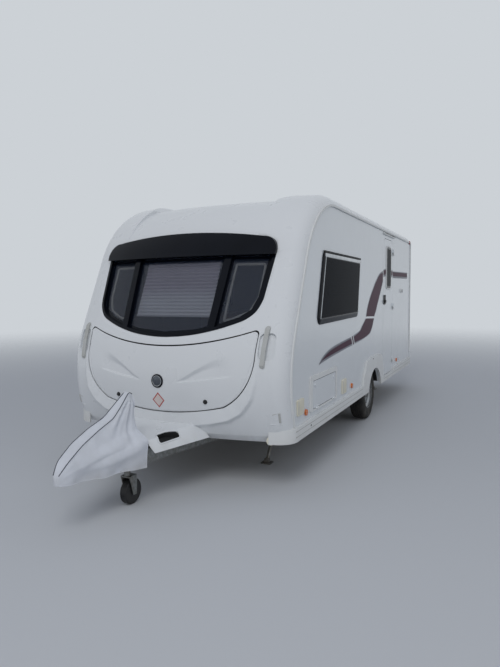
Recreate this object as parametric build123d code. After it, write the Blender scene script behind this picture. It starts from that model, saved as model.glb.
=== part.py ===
from build123d import *
from math import cos, pi, radians, sin, sqrt
import os

# Single-axle touring caravan, parked on its wheels, jockey wheel and corner steadies.
# Millimetres. +X is the door side, -Y is the front, +Z is up, z = 0 is the ground.
# The origin is on the ground, midway along the whole length and on the centre line.

# Driving sizes of the body
BODY_LENGTH = 5915.0
COVER_REACH = 1140.0
BUMPER_DEPTH = 55.0
WIDTH = 2240.0
TRIM_PROUD = 25.0
WALL = 30.0
ROOF_TOP = 2580.0
SHELL_BOTTOM = 400.0
WALL_BOTTOM = 440.0
FLOOR_THICK = 38.0
GAP = 6.0
SEAT = 0.3

# Where the ends lie
REAR = (BODY_LENGTH + COVER_REACH + BUMPER_DEPTH) / 2
REAR_WALL = REAR - BUMPER_DEPTH
NOSE = REAR_WALL - BODY_LENGTH
BODY_HALF = WIDTH / 2 - TRIM_PROUD
INNER_HALF = BODY_HALF - WALL

# Shape of the front moulding, seen from the side, and its bow, seen from above
BOW_R = 3700.0
NOSE_Z = 897.0
NOSE_R = 1040.0
LEAN = 23.5
BROW_Z = ROOF_TOP - 580.0
BROW_TOP = ROOF_TOP - 65.0
CORNER_R = 140.0
REAR_TOP_R = 150.0
BOW_Y = NOSE + BOW_R
BOW_AXIS = Axis((0, BOW_Y, 0), (0, 0, 1))
LEAN_SIN = sin(radians(LEAN))
LEAN_COS = cos(radians(LEAN))
BROW_DEPTH = NOSE_R * (1 - LEAN_COS) + (BROW_Z - NOSE_Z - NOSE_R * LEAN_SIN) * LEAN_SIN / LEAN_COS
ROOF_START = NOSE + BROW_DEPTH + (ROOF_TOP - BROW_Z) / (1 - LEAN_SIN) * LEAN_COS
ROOF_SEAM_Y = ROOF_START + 75.0
JOIN_Y = ROOF_START + 345.0
SEAM_INSET = 110.0
SEAM_SHIFT = 170.0
REAR_SEAM_Y = REAR_WALL - 110.0

# Running gear
AXLE_Y = REAR_WALL - 2740.0
TYRE_R = 325.0
TYRE_WIDTH = 185.0
RIM_R = 178.0
WHEEL_X = 945.0
STUB_R = 25.0
RUN_FIT = 0.05
ARCH_R = 375.0
ARCH_Z = 300.0
BOX_R = 380.0
BOX_WALL = 12.0
BOX_IN_X = 790.0

# Drawbar, coupling and jockey wheel
BALL_Y = NOSE - COVER_REACH + 155.0
BALL_Z = 430.0
BALL_BORE_R = 25.25
MEMBER_X = 700.0
MEMBER_TOP = 439.7
MEMBER_DEEP = 108.0
MEMBER_WIDE = 42.0
MEMBER_SKIN = 5.0
V_HALF = 62.0
V_FRONT_Y = BALL_Y + 150.0
V_END_Y = AXLE_Y - 885.0
JOCKEY_X = 30.0
JOCKEY_Y = V_FRONT_Y + 380.0
FAIR_Y0 = JOCKEY_Y + 70.0
NOSE_CROSS_Y = NOSE + 160.0
NOSE_CROSS_LAP = 14.8608
NOSE_CROSS_FIT = 16.0
JOCKEY_WHEEL_R = 100.0

# Front locker lid, seen from the front
LID_HALF = BODY_HALF - 240.0
GLASS_HALF = BODY_HALF - 247.0
LID_BOTTOM = 640.0
LID_TOP = 1190.0
LID_SKIN = 6.0
LID_GAP = 8.0
LID_TOP_GAP = 12.0
LID_AXIS_IN = 54.50444
LID_AXIS_Z = 1335.0
LID_ARM_X = LID_HALF - 205.0

# Entrance door and side locker
DOOR_Y0 = AXLE_Y + 530.0
DOOR_Y1 = AXLE_Y + 1150.0
DOOR_Z0 = 490.0
DOOR_HEAD = 210.0
DOOR_Z1 = ROOF_TOP - DOOR_HEAD
DOOR_AXIS_OUT = 16.0
LOCKER_Y0 = NOSE + 795.0
LOCKER_Y1 = NOSE + 1475.0
LOCKER_Z0 = 600.0
LOCKER_Z1 = 845.0
CATCH_Y0 = LOCKER_Y1 + 240.0
CATCH_Y1 = LOCKER_Y1 + 390.0
ARCH_TRIM_Y0 = AXLE_Y - 620.0
LAMP_SHARE = 239.0 / 690.0
LAMP_MID_Y = CATCH_Y1 + (ARCH_TRIM_Y0 - CATCH_Y1) * LAMP_SHARE


def outline_x(lines, x0, x1):
    """A face drawn in (y, z) and carried along x."""
    wire = Wire([edge for line in lines for edge in line.edges()])
    face = make_face(Plane.YZ * wire)
    return Pos(x0, 0, 0) * extrude(face, x1 - x0, dir=(1, 0, 0))


def plate_x(points, radius, x0, x1):
    """A plate whose rounded outline is given as (y, z) corners."""
    wire = FilletPolyline(*points, radius=radius, close=True) if radius else Polyline(*points, close=True)
    face = make_face(Plane.YZ * wire)
    return Pos(x0, 0, 0) * extrude(face, x1 - x0, dir=(1, 0, 0))


def plate_y(points, radius, y0, y1):
    """A plate whose rounded outline is given as (x, z) corners."""
    wire = FilletPolyline(*points, radius=radius, close=True) if radius else Polyline(*points, close=True)
    face = make_face(Plane.XZ * wire)
    return Pos(0, y0, 0) * extrude(face, y1 - y0, dir=(0, 1, 0))


def plate_z(points, radius, z0, z1):
    """A plate whose rounded outline is given as (x, y) corners."""
    wire = FilletPolyline(*points, radius=radius, close=True) if radius else Polyline(*points, close=True)
    face = make_face(Plane.XY * wire)
    return Pos(0, 0, z0) * extrude(face, z1 - z0, dir=(0, 0, 1))


def block(x0, x1, y0, y1, z0, z1):
    """A box between six planes."""
    return Pos((x0 + x1) / 2, (y0 + y1) / 2, (z0 + z1) / 2) * Box(abs(x1 - x0), abs(y1 - y0), abs(z1 - z0))


def rod_x(x0, x1, y, z, r):
    """A round bar along x."""
    return Pos((x0 + x1) / 2, y, z) * Rot(0, 90, 0) * Cylinder(r, abs(x1 - x0))


def rod_z(x, y, z0, z1, r):
    """A round bar along z."""
    return Pos(x, y, (z0 + z1) / 2) * Cylinder(r, abs(z1 - z0))


def bar(p, q, r):
    """A round bar between two points."""
    axis = Vector(*q) - Vector(*p)
    plane = Plane(origin=p, z_dir=axis)
    return extrude(plane * Circle(r), axis.length)


def mirror_x(shape):
    """The same piece on the other side."""
    return mirror(shape, about=Plane.YZ)


def drawbar_x(y):
    """How far a drawbar member's middle is from the centre line."""
    return V_HALF + (MEMBER_X - V_HALF) * (y - V_FRONT_Y) / (V_END_Y - V_FRONT_Y)


def front_lines(top_z, inset, shift=0.0):
    """The front profile from the bottom up, as tangent arcs and a line, and its top point."""
    s = sin(radians(LEAN))
    c = cos(radians(LEAN))
    nose = NOSE + shift
    r = NOSE_R - inset
    low = (nose + NOSE_R - sqrt(r * r - (NOSE_Z - SHELL_BOTTOM) ** 2), SHELL_BOTTOM)
    lip = (nose + NOSE_R - r * c, NOSE_Z + r * s)
    rise = (BROW_Z - NOSE_Z - NOSE_R * s) / c
    brow = (lip[0] + rise * s, lip[1] + rise * c)
    big = (top_z - BROW_Z) / (1 - s) - inset
    centre = (brow[0] + big * c, brow[1] - big * s)
    half_turn = radians(LEAN + (90 - LEAN) / 2)
    mid = (centre[0] - big * cos(half_turn), centre[1] + big * sin(half_turn))
    top = (centre[0], centre[1] + big)
    lines = [ThreePointArc(low, (nose + inset, NOSE_Z), lip), Line(lip, brow), ThreePointArc(brow, mid, top)]
    return lines, low, top


def front_at(x, z):
    """The y of the bowed front at a place below the brow."""
    lip_z = NOSE_Z + NOSE_R * LEAN_SIN
    depth = NOSE_R - sqrt(NOSE_R ** 2 - (min(z, lip_z) - NOSE_Z) ** 2)
    depth = depth + max(z - lip_z, 0.0) * LEAN_SIN / LEAN_COS
    return NOSE + BOW_R - sqrt((BOW_R - depth) ** 2 - x * x)


LID_AXIS_Y = front_at(LID_ARM_X, LID_AXIS_Z) + LID_AXIS_IN


def bowed(top_z, inset, tail=()):
    """Everything behind the bowed front surface, as a solid of revolution."""
    lines, low, top = front_lines(top_z, inset)
    ends = [top]
    for y, z in tail:
        ends.append((y, z - inset))
    ends.append((BOW_Y - 1, ends[-1][1]))
    ends.append((BOW_Y - 1, SHELL_BOTTOM))
    ends.append(low)
    wire = Wire([edge for line in lines + [Polyline(*ends)] for edge in line.edges()])
    solid = revolve(make_face(Plane.YZ * wire), BOW_AXIS, 90)
    return solid.rotate(BOW_AXIS, -45)


def hull(inset):
    """The body's outer form, or the space inside it when inset is the wall's thickness."""
    half = BODY_HALF - inset
    top = ROOF_TOP - inset
    back = REAR_WALL - inset
    r = REAR_TOP_R - inset
    bow = bowed(ROOF_TOP, inset) & block(-half, half, NOSE - 100, JOIN_Y, 0, ROOF_TOP + 100)
    turn = (back - r + r * sin(pi / 4), top - r + r * cos(pi / 4))
    tail = [
        Polyline((back, top - r), (back, SHELL_BOTTOM), (JOIN_Y, SHELL_BOTTOM), (JOIN_Y, top), (back - r, top)),
        ThreePointArc((back - r, top), turn, (back, top - r)),
    ]
    solid = (bow + outline_x(tail, -half, half)).clean()
    rims = []
    for edge in solid.edges():
        flat = edge.bounding_box().size.X < 0.01
        if flat and abs(abs(edge.center().X) - half) < 0.01 and edge.center().Z > SHELL_BOTTOM + 1:
            rims.append(edge)
    return fillet(rims, CORNER_R - inset)


# Between the shoulders the front part of the roof is lower
DIP_LOW_X = 700.0
DIP_TOP_X = 805.0
DIP_DEEP = 28.0
DIP_TAIL = [(ROOF_SEAM_Y, ROOF_TOP - DIP_DEEP), (ROOF_SEAM_Y + 170.0, ROOF_TOP + 20.0)]


def dip(inset):
    """What is taken off the roof between the shoulders; inside, its flanks lie a wall's thickness further out."""
    low_x = DIP_LOW_X + inset
    top_x = DIP_TOP_X + inset
    rim = Polyline(
        (-low_x, BROW_TOP - 15), (-top_x, ROOF_TOP), (-top_x - 60, ROOF_TOP + 60),
        (top_x + 60, ROOF_TOP + 60), (top_x, ROOF_TOP), (low_x, BROW_TOP - 15),
        (low_x, BROW_Z - 100), (-low_x, BROW_Z - 100), close=True)
    trough = extrude(make_face(Plane.XZ * rim), -1800, dir=(0, -1, 0))
    trough = Pos(0, NOSE, 0) * trough
    return trough - bowed(BROW_TOP, inset, DIP_TAIL)


def lid_shape(gap, top_gap, y0, y1):
    """The lid's outline grown by a gap, as a prism along y."""
    half = LID_HALF + gap
    top = LID_TOP + top_gap
    corner_z = LID_TOP + 128 + top_gap
    low = half - 265.0 - gap / 2
    lines = [
        ThreePointArc((-half + 45, corner_z), (0, top), (half - 45, corner_z)),
        ThreePointArc((half - 45, corner_z), (half - 8, corner_z - 6), (half, corner_z - 38)),
        Line((half, corner_z - 38), (half - 8, 1150.0)),
        ThreePointArc((half - 8, 1150.0), (half - 93.0, 860.0 - gap / 2), (low, 712.0 - gap)),
        ThreePointArc((low, 712.0 - gap), (0, LID_BOTTOM - gap), (-low, 712.0 - gap)),
        ThreePointArc((-low, 712.0 - gap), (93.0 - half, 860.0 - gap / 2), (-half + 8, 1150.0)),
        Line((-half + 8, 1150.0), (-half, corner_z - 38)),
        ThreePointArc((-half, corner_z - 38), (-half + 8, corner_z - 6), (-half + 45, corner_z)),
    ]
    wire = Wire([edge for line in lines for edge in line.edges()])
    face = make_face(Plane.XZ * wire)
    return Pos(0, y0, 0) * extrude(face, y1 - y0, dir=(0, 1, 0))


def glazing_shape(grow, y0, y1):
    """The dark window surround's outline, grown or shrunk, as a prism along y."""
    g = grow
    w = GLASS_HALF
    foot = (w - 158.0 + g * 0.6, 1400.0 - g * 0.8)
    jaw = (w - 48.0 + g * 0.8, 1478.0 - g * 0.5)
    side = (w + g, 1600.0)
    temple = (w + 36.0 + g, 1960.0)
    bend = (w + 14.0 + g * 0.8, 2072.0 + g * 0.7)
    crown = (w - 88.0 + g * 0.4, 2118.0 + g)
    flip = [(-x, z) for x, z in (foot, jaw, side, temple, bend, crown)]
    lines = [
        ThreePointArc(flip[0], (0, 1268.0 - g), foot),
        ThreePointArc(foot, jaw, side),
        Line(side, temple),
        ThreePointArc(temple, bend, crown),
        ThreePointArc(crown, (0, 2172.0 + g), flip[5]),
        ThreePointArc(flip[5], flip[4], flip[3]),
        Line(flip[3], flip[2]),
        ThreePointArc(flip[2], flip[1], flip[0]),
    ]
    wire = Wire([edge for line in lines for edge in line.edges()])
    face = make_face(Plane.XZ * wire)
    return Pos(0, y0, 0) * extrude(face, y1 - y0, dir=(0, 1, 0))


parts = {}

# The body as one hollow form, before it is split where the real panels meet
outer = hull(0)
inner = hull(WALL)
shell = (outer - dip(0)) - (inner - dip(WALL))

FAR = 4000.0
seam_lines, seam_low, seam_top = front_lines(ROOF_TOP, SEAM_INSET, SEAM_SHIFT)
seam_z = seam_top[1]
front_zone = outline_x(
    seam_lines + [Polyline(seam_top, (ROOF_SEAM_Y, seam_z), (ROOF_SEAM_Y, FAR), (-FAR, FAR), (-FAR, SHELL_BOTTOM),
                           seam_low)], -FAR, FAR)
rear_zone = block(-FAR, FAR, REAR_SEAM_Y, FAR, 0, FAR)
roof_zone = block(-FAR, FAR, ROOF_SEAM_Y, REAR_SEAM_Y, seam_z, FAR)
above_skirt = block(-FAR, FAR, -FAR, FAR, WALL_BOTTOM, FAR)

front_panel = shell & front_zone
rear_panel = shell & rear_zone & above_skirt
roof_panel = shell & roof_zone
walls = (shell - front_zone) - rear_zone - roof_zone
walls = walls & above_skirt

# Side windows: y, z corners of the panes, the same front window on both sides
WINDOW_REBATE = 22.0
PANE_THICK = 18.0
PANE_PROUD = 2.0
WINDOW_R = 62.0
WINDOW_APART = 145.0
KITCHEN_WINDOW_Y = AXLE_Y - 590.0
WINDOW_END_Y = KITCHEN_WINDOW_Y - WINDOW_APART
FRONT_SIDE_WINDOW = [(NOSE + 1092, 2018.0), (NOSE + 905, 1338.0), (WINDOW_END_Y - 105, 1362.0),
                     (WINDOW_END_Y, 2014.0)]
KITCHEN_WINDOW = [(AXLE_Y - 560, 2014.0), (KITCHEN_WINDOW_Y, 1450.0), (AXLE_Y + 250, 1450.0), (AXLE_Y + 280, 2014.0)]
WASHROOM_WINDOW = [(AXLE_Y + 1680, 2010.0), (AXLE_Y + 1680, 1620.0), (AXLE_Y + 2160, 1620.0),
                   (AXLE_Y + 2160, 2010.0)]
DOOR_GLASS_Z0 = DOOR_Z1 - 670.0
DOOR_GLASS_Z1 = DOOR_Z1 - 108.0
DOOR_WINDOW = [(DOOR_Y0 + 172, DOOR_GLASS_Z1), (DOOR_Y0 + 172, DOOR_GLASS_Z0), (DOOR_Y1 - 172, DOOR_GLASS_Z0),
               (DOOR_Y1 - 172, DOOR_GLASS_Z1)]
REAR_WINDOW = [(-470.0, 2040.0), (-470.0, 1560.0), (470.0, 1560.0), (470.0, 2040.0)]


def shrunk(points, step):
    """An outline with each corner moved towards the middle by a step in both directions."""
    cy = sum(p[0] for p in points) / len(points)
    cz = sum(p[1] for p in points) / len(points)
    return [(y - step if y > cy else y + step, z - step if z > cz else z + step) for y, z in points]


def pane(points, radius, side):
    """A hinged acrylic pane lying on the wall's outside."""
    x0 = BODY_HALF + SEAT
    solid = plate_x(points, radius, x0, x0 + PANE_THICK)
    return solid if side > 0 else mirror_x(solid)


def hole_x(points, radius, side):
    """The opening behind a pane."""
    solid = plate_x(shrunk(points, WINDOW_REBATE), radius, INNER_HALF - 50, BODY_HALF + 50)
    return solid if side > 0 else mirror_x(solid)


door_gap = plate_x(
    [(DOOR_Y0 - GAP, DOOR_Z0 - GAP), (DOOR_Y1 + GAP, DOOR_Z0 - GAP), (DOOR_Y1 + GAP, DOOR_Z1 + GAP),
     (DOOR_Y0 - GAP, DOOR_Z1 + GAP)], 110, INNER_HALF - 50, BODY_HALF + 50)
locker_gap = plate_x(
    [(LOCKER_Y0 - GAP, LOCKER_Z0 - GAP), (LOCKER_Y1 + GAP, LOCKER_Z0 - GAP), (LOCKER_Y1 + GAP, LOCKER_Z1 + GAP),
     (LOCKER_Y0 - GAP, LOCKER_Z1 + GAP)], 22, INNER_HALF - 50, BODY_HALF + 50)
arch_gap = rod_x(-FAR, FAR, AXLE_Y, ARCH_Z, ARCH_R)

door_side = (walls & block(0, FAR, -FAR, FAR, 0, FAR)) - arch_gap
door_side = door_side - hole_x(FRONT_SIDE_WINDOW, WINDOW_R, 1) - door_gap - locker_gap
far_side = (walls & block(-FAR, 0, -FAR, FAR, 0, FAR)) - arch_gap
far_side = far_side - hole_x(FRONT_SIDE_WINDOW, WINDOW_R, -1) - hole_x(KITCHEN_WINDOW, WINDOW_R, -1)
far_side = far_side - hole_x(WASHROOM_WINDOW, WINDOW_R, -1)
parts["side_wall_door"] = door_side
parts["side_wall_far"] = far_side

# Front moulding with its window and locker openings, and a hand scoop behind each grab handle
GRAB_X = 922.0
GRAB_Z0 = 1035.0
GRAB_Z1 = 1368.0
SCOOP_X0 = GRAB_X - 50
SCOOP_X1 = GRAB_X + 81
SCOOP_Z0 = GRAB_Z0 + 65
SCOOP_Z1 = GRAB_Z1 - 58
SCOOP_DEEP = 20.0
FRAME_DEEP = 60.0
lid_gap = lid_shape(LID_GAP, LID_TOP_GAP, NOSE - 60, NOSE + 700)
glazing_hole = glazing_shape(0, NOSE - 60, NOSE + 900)
CREASE_Z = 475.0
crease_y = NOSE + NOSE_R - sqrt(NOSE_R ** 2 - (NOSE_Z - CREASE_Z) ** 2)
tuck = Polyline((crease_y, CREASE_Z), (crease_y + 78, SHELL_BOTTOM - 1), (NOSE - 50, SHELL_BOTTOM - 1),
                (NOSE - 50, CREASE_Z), close=True)
tuck = revolve(make_face(Plane.YZ * tuck), BOW_AXIS, 36).rotate(BOW_AXIS, -18)
front_panel = front_panel - lid_gap - glazing_hole - tuck
scoop = plate_y([(SCOOP_X0, SCOOP_Z0), (SCOOP_X1, SCOOP_Z0), (SCOOP_X1, SCOOP_Z1), (SCOOP_X0, SCOOP_Z1)],
                45, NOSE - 60, NOSE + 500) - hull(SCOOP_DEEP)
front_panel = front_panel - scoop - mirror_x(scoop)
cross_half = drawbar_x(NOSE_CROSS_Y) + NOSE_CROSS_LAP
nose_half = cross_half + NOSE_CROSS_FIT
front_panel = front_panel - block(-nose_half, nose_half, NOSE - 100, NOSE + 700, SHELL_BOTTOM - 10, MEMBER_TOP + 8)
parts["front_panel"] = front_panel
parts["roof_panel"] = roof_panel
rear_hole = plate_y(shrunk(REAR_WINDOW, WINDOW_REBATE), WINDOW_R, REAR_WALL - 80, REAR_WALL + 50)
parts["rear_panel"] = rear_panel - rear_hole

# Dark window surround with its brow and two pillars, and the three panes in it
FRAME_IN = 8.0
PANE_IN = 40.0
PANE_DEEP = 10.0
PILLAR_X = 456.0
PILLAR_HALF = 30.0
GLASS_TOP = 1955.0
SIDE_EDGE = 26.0
BROW_PROUD = 26.0


def pane_shape(x0, x1, grow):
    """One front pane's outline as a prism along y."""
    field = glazing_shape(grow - SIDE_EDGE, NOSE - 60, NOSE + 900)
    strip = Polyline((x0[0] - grow, 1200.0), (x1[0] + grow, 1200.0), (x1[1] + grow, GLASS_TOP + grow),
                     (x0[1] - grow, GLASS_TOP + grow), close=True)
    strip = extrude(make_face(Plane.XZ * strip), -2000, dir=(0, -1, 0))
    return field & (Pos(0, NOSE - 100, 0) * strip)


lean_x = 22.0
PANES = [
    # name, left edge (low, high), right edge (low, high)
    ("front_window_centre", (-PILLAR_X + PILLAR_HALF + lean_x, -PILLAR_X + PILLAR_HALF - lean_x),
     (PILLAR_X - PILLAR_HALF - lean_x, PILLAR_X - PILLAR_HALF + lean_x)),
    ("front_window_door_side", (PILLAR_X + PILLAR_HALF - lean_x, PILLAR_X + PILLAR_HALF + lean_x), (1000, 1000)),
    ("front_window_far_side", (-1000, -1000), (-PILLAR_X - PILLAR_HALF + lean_x, -PILLAR_X - PILLAR_HALF - lean_x)),
]
ring = glazing_shape(-SEAT, NOSE - 60, NOSE + 900)
surround = (ring & bowed(ROOF_TOP, FRAME_IN)) - bowed(ROOF_TOP, FRAME_DEEP)
brow_zone = block(-FAR, FAR, -FAR, FAR, GLASS_TOP + 2, FAR)
brow = (ring & bowed(ROOF_TOP, -BROW_PROUD) & brow_zone) - bowed(ROOF_TOP, FRAME_IN)
surround = surround + brow
for name, left, right in PANES:
    surround = surround - pane_shape(left, right, 0)
parts["front_window_surround"] = surround
for name, left, right in PANES:
    glass = pane_shape(left, right, -SEAT) & bowed(ROOF_TOP, PANE_IN)
    parts[name] = glass - bowed(ROOF_TOP, PANE_IN + PANE_DEEP)

# Front locker lid: an outer skin, an inner pan and two gooseneck arms on hinge pins
lid = (lid_shape(0, 0, NOSE - 60, NOSE + 700) & bowed(ROOF_TOP, 0)) - bowed(ROOF_TOP, LID_SKIN)
pan = (lid_shape(-70, -80, NOSE - 60, NOSE + 700) & bowed(ROOF_TOP, LID_SKIN)) - bowed(ROOF_TOP, LID_SKIN + 18)
lid = lid + pan
ARM_HALF = 12.0
PIN_R = 6.0
EYE_R = 15.0
# The arm's outline from the pin: back, down, then forward to the lid, clear of the panel's edge as it swings
GOOSENECK = [(-12, 11), (104, 11), (104, -140), (-150, -275), (-150, -228), (82, -118), (82, -11), (-12, -11)]
for side in (-1, 1):
    x0 = side * LID_ARM_X - ARM_HALF
    arm = plate_x([(LID_AXIS_Y + y, LID_AXIS_Z + z) for y, z in GOOSENECK], 5, x0, x0 + 2 * ARM_HALF)
    arm = (arm & bowed(ROOF_TOP, LID_SKIN)) + rod_x(x0, x0 + 2 * ARM_HALF, LID_AXIS_Y, LID_AXIS_Z, EYE_R)
    lid = lid + arm
    lid = lid - rod_x(x0 - 5, x0 + 2 * ARM_HALF + 5, LID_AXIS_Y, LID_AXIS_Z, PIN_R + RUN_FIT)
parts["locker_lid"] = lid
hinges = []
for side in (-1, 1):
    x = side * LID_ARM_X
    pin = rod_x(x - ARM_HALF - 16, x + ARM_HALF + 16, LID_AXIS_Y, LID_AXIS_Z, PIN_R)
    for ear in (-1, 1):
        e0 = x + ear * (ARM_HALF + 6)
        e1 = x + ear * (ARM_HALF + 12)
        tab = block(min(e0, e1), max(e0, e1), NOSE + 100, LID_AXIS_Y + 12, LID_AXIS_Z - 12, LID_AXIS_Z + 25)
        pin = pin + (tab & bowed(ROOF_TOP, WALL))
    hinges.append(pin)
parts["lid_hinges"] = Compound(children=hinges)

# Gas locker behind the lid: a tray, a bulkhead and a shelf
LOCKER_BACK_Y = NOSE + 560.0
LOCKER_TOP = 1235.0
PLY = 9.0
tray = hull(WALL + SEAT) & block(-FAR, FAR, -FAR, LOCKER_BACK_Y, WALL_BOTTOM, WALL_BOTTOM + PLY)
bulkhead = block(-INNER_HALF + SEAT, INNER_HALF - SEAT, LOCKER_BACK_Y - PLY, LOCKER_BACK_Y, WALL_BOTTOM + PLY,
                 LOCKER_TOP)
parts["front_locker_box"] = (tray + bulkhead).clean()

# Floor, with room for the wheels
FLOOR_Z1 = WALL_BOTTOM + FLOOR_THICK
floor = hull(WALL + SEAT) & block(-FAR, FAR, LOCKER_BACK_Y + SEAT, FAR, WALL_BOTTOM, FLOOR_Z1)
for side in (-1, 1):
    floor = floor - block(side * BOX_IN_X, side * FAR, AXLE_Y - BOX_R - BOX_WALL, AXLE_Y + BOX_R + BOX_WALL, 0, FAR)
parts["floor"] = floor

# Wheel boxes
boxes = []
for side in (-1, 1):
    x0 = BOX_IN_X + SEAT
    x1 = INNER_HALF - SEAT
    drum = rod_x(x0, x1, AXLE_Y, TYRE_R, BOX_R + BOX_WALL) - rod_x(x0 + BOX_WALL, x1 + 5, AXLE_Y, TYRE_R, BOX_R)
    drum = drum & block(0, FAR, -FAR, FAR, WALL_BOTTOM, FAR)
    boxes.append(drum if side > 0 else mirror_x(drum))
parts["wheel_boxes"] = Compound(children=boxes)

# Side and rear windows
parts["side_window_door"] = pane(FRONT_SIDE_WINDOW, WINDOW_R + 8, 1)
far_panes = [pane(p, WINDOW_R + 8, -1) for p in (FRONT_SIDE_WINDOW, KITCHEN_WINDOW, WASHROOM_WINDOW)]
parts["side_windows_far"] = Compound(children=far_panes)
parts["rear_window"] = plate_y(REAR_WINDOW, WINDOW_R + 8, REAR_WALL + SEAT, REAR_WALL + SEAT + PANE_THICK)

# Entrance door with its window and handle
door = plate_x([(DOOR_Y0, DOOR_Z0), (DOOR_Y1, DOOR_Z0), (DOOR_Y1, DOOR_Z1), (DOOR_Y0, DOOR_Z1)],
               104, INNER_HALF, BODY_HALF)
door = door - plate_x(shrunk(DOOR_WINDOW, WINDOW_REBATE), 40, INNER_HALF - 50, BODY_HALF + 50)
DOOR_AXIS_X = BODY_HALF + DOOR_AXIS_OUT
DOOR_AXIS_Y = DOOR_Y1 + GAP / 2
HINGE_R = 7.0
pins = []
for z in (DOOR_Z0 + 160, (DOOR_Z0 + DOOR_Z1) / 2, DOOR_Z1 - 160):
    knuckle = rod_z(DOOR_AXIS_X, DOOR_AXIS_Y, z, z + 45, HINGE_R)
    leaf = block(BODY_HALF, DOOR_AXIS_X, DOOR_AXIS_Y - 46, DOOR_AXIS_Y, z, z + 45)
    leaf = leaf & block(BODY_HALF, BODY_HALF + 5, -FAR, FAR, 0, FAR)
    web = plate_z([(BODY_HALF + 0.01, DOOR_AXIS_Y - 18), (BODY_HALF + 0.01, DOOR_AXIS_Y - 8),
                   (DOOR_AXIS_X, DOOR_AXIS_Y), (DOOR_AXIS_X - 2, DOOR_AXIS_Y - 7)], 0, z, z + 45)
    door = door + (knuckle + leaf + web)
    fixed = rod_z(DOOR_AXIS_X, DOOR_AXIS_Y, z - 45, z - SEAT, HINGE_R)
    plate = block(BODY_HALF + SEAT, BODY_HALF + 5, DOOR_AXIS_Y + 8, DOOR_AXIS_Y + 46, z - 45, z - SEAT)
    arm = plate_z([(BODY_HALF + 1, DOOR_AXIS_Y + 8), (BODY_HALF + 1, DOOR_AXIS_Y + 18),
                   (DOOR_AXIS_X - 2, DOOR_AXIS_Y + 7), (DOOR_AXIS_X, DOOR_AXIS_Y)], 0, z - 45, z - SEAT)
    pins.append(fixed + plate + arm)
parts["entrance_door"] = door
parts["door_hinges"] = Compound(children=pins)
parts["door_window"] = plate_x(DOOR_WINDOW, 60, BODY_HALF + SEAT, BODY_HALF + 12)
HANDLE_Y = DOOR_Y0 + 55.0
HANDLE_Z0 = 1470.0
HANDLE_Z1 = 1600.0
plate = plate_x([(HANDLE_Y - 38, HANDLE_Z0), (HANDLE_Y + 62, HANDLE_Z0), (HANDLE_Y + 62, HANDLE_Z1),
                 (HANDLE_Y - 38, HANDLE_Z1)], 14, BODY_HALF + SEAT, BODY_HALF + 12)
grip = plate_x([(HANDLE_Y - 20, HANDLE_Z0 + 22), (HANDLE_Y + 44, HANDLE_Z0 + 22), (HANDLE_Y + 44, HANDLE_Z0 + 62),
                (HANDLE_Y - 20, HANDLE_Z0 + 62)], 10, BODY_HALF + 11, BODY_HALF + 24)
parts["door_handle"] = plate + grip

# Side locker: a frame on the wall, a flush door hinged at its bottom, and two catches
frame_out = [(LOCKER_Y0 - 70, LOCKER_Z0 - 23), (LOCKER_Y1 + 50, LOCKER_Z0 - 23), (LOCKER_Y1 + 50, LOCKER_Z1 + 50),
             (LOCKER_Y0 - 70, LOCKER_Z1 + 50)]
frame_in = [(LOCKER_Y0 - GAP, LOCKER_Z0 - GAP), (LOCKER_Y1 + GAP, LOCKER_Z0 - GAP),
            (LOCKER_Y1 + GAP, LOCKER_Z1 + GAP), (LOCKER_Y0 - GAP, LOCKER_Z1 + GAP)]
frame = plate_x(frame_out, 24, BODY_HALF + SEAT, BODY_HALF + 11)
frame = frame - plate_x(frame_in, 22, BODY_HALF - 10, BODY_HALF + 30)
parts["side_locker_frame"] = frame
flap = plate_x([(LOCKER_Y0, LOCKER_Z0), (LOCKER_Y1, LOCKER_Z0), (LOCKER_Y1, LOCKER_Z1), (LOCKER_Y0, LOCKER_Z1)],
               18, INNER_HALF + 4, BODY_HALF + 8)
LOCKER_AXIS_X = BODY_HALF + 17.0
LOCKER_AXIS_Z = LOCKER_Z0 - 3.0
for y in (LOCKER_Y0 + 90, LOCKER_Y1 - 90):
    knuckle = Pos(LOCKER_AXIS_X, y, LOCKER_AXIS_Z) * Rot(90, 0, 0) * Cylinder(6, 60)
    tab = block(BODY_HALF + 7, LOCKER_AXIS_X, y - 30, y + 30, LOCKER_AXIS_Z, LOCKER_AXIS_Z + 12)
    flap = flap + knuckle + tab
for y in (LOCKER_Y0 + 70, LOCKER_Y1 - 70):
    flap = flap + (Pos(BODY_HALF + 8, y, LOCKER_Z1 - 40) * Rot(0, 90, 0) * Cylinder(16, 12))
parts["side_locker_door"] = flap

# Skirts along both sides, wrapping the front corners, with arch trims over the wheels
SKIRT_Z0 = 410.0
SKIRT_Z1 = 525.0
SKIRT_PROUD = TRIM_PROUD - SEAT


def plan_face(grow, front_grow):
    """The body's outline at skirt height, seen from above."""
    half = BODY_HALF + grow
    nose = NOSE + 92 - front_grow
    box = Pos(0, (nose + REAR_SEAM_Y) / 2) * Rectangle(2 * half, REAR_SEAM_Y - nose)
    face = box & (Pos(0, nose + BOW_R) * Circle(BOW_R))
    corners = [v for v in face.vertices() if v.Y < 0]
    return fillet(corners, CORNER_R + grow)


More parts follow.
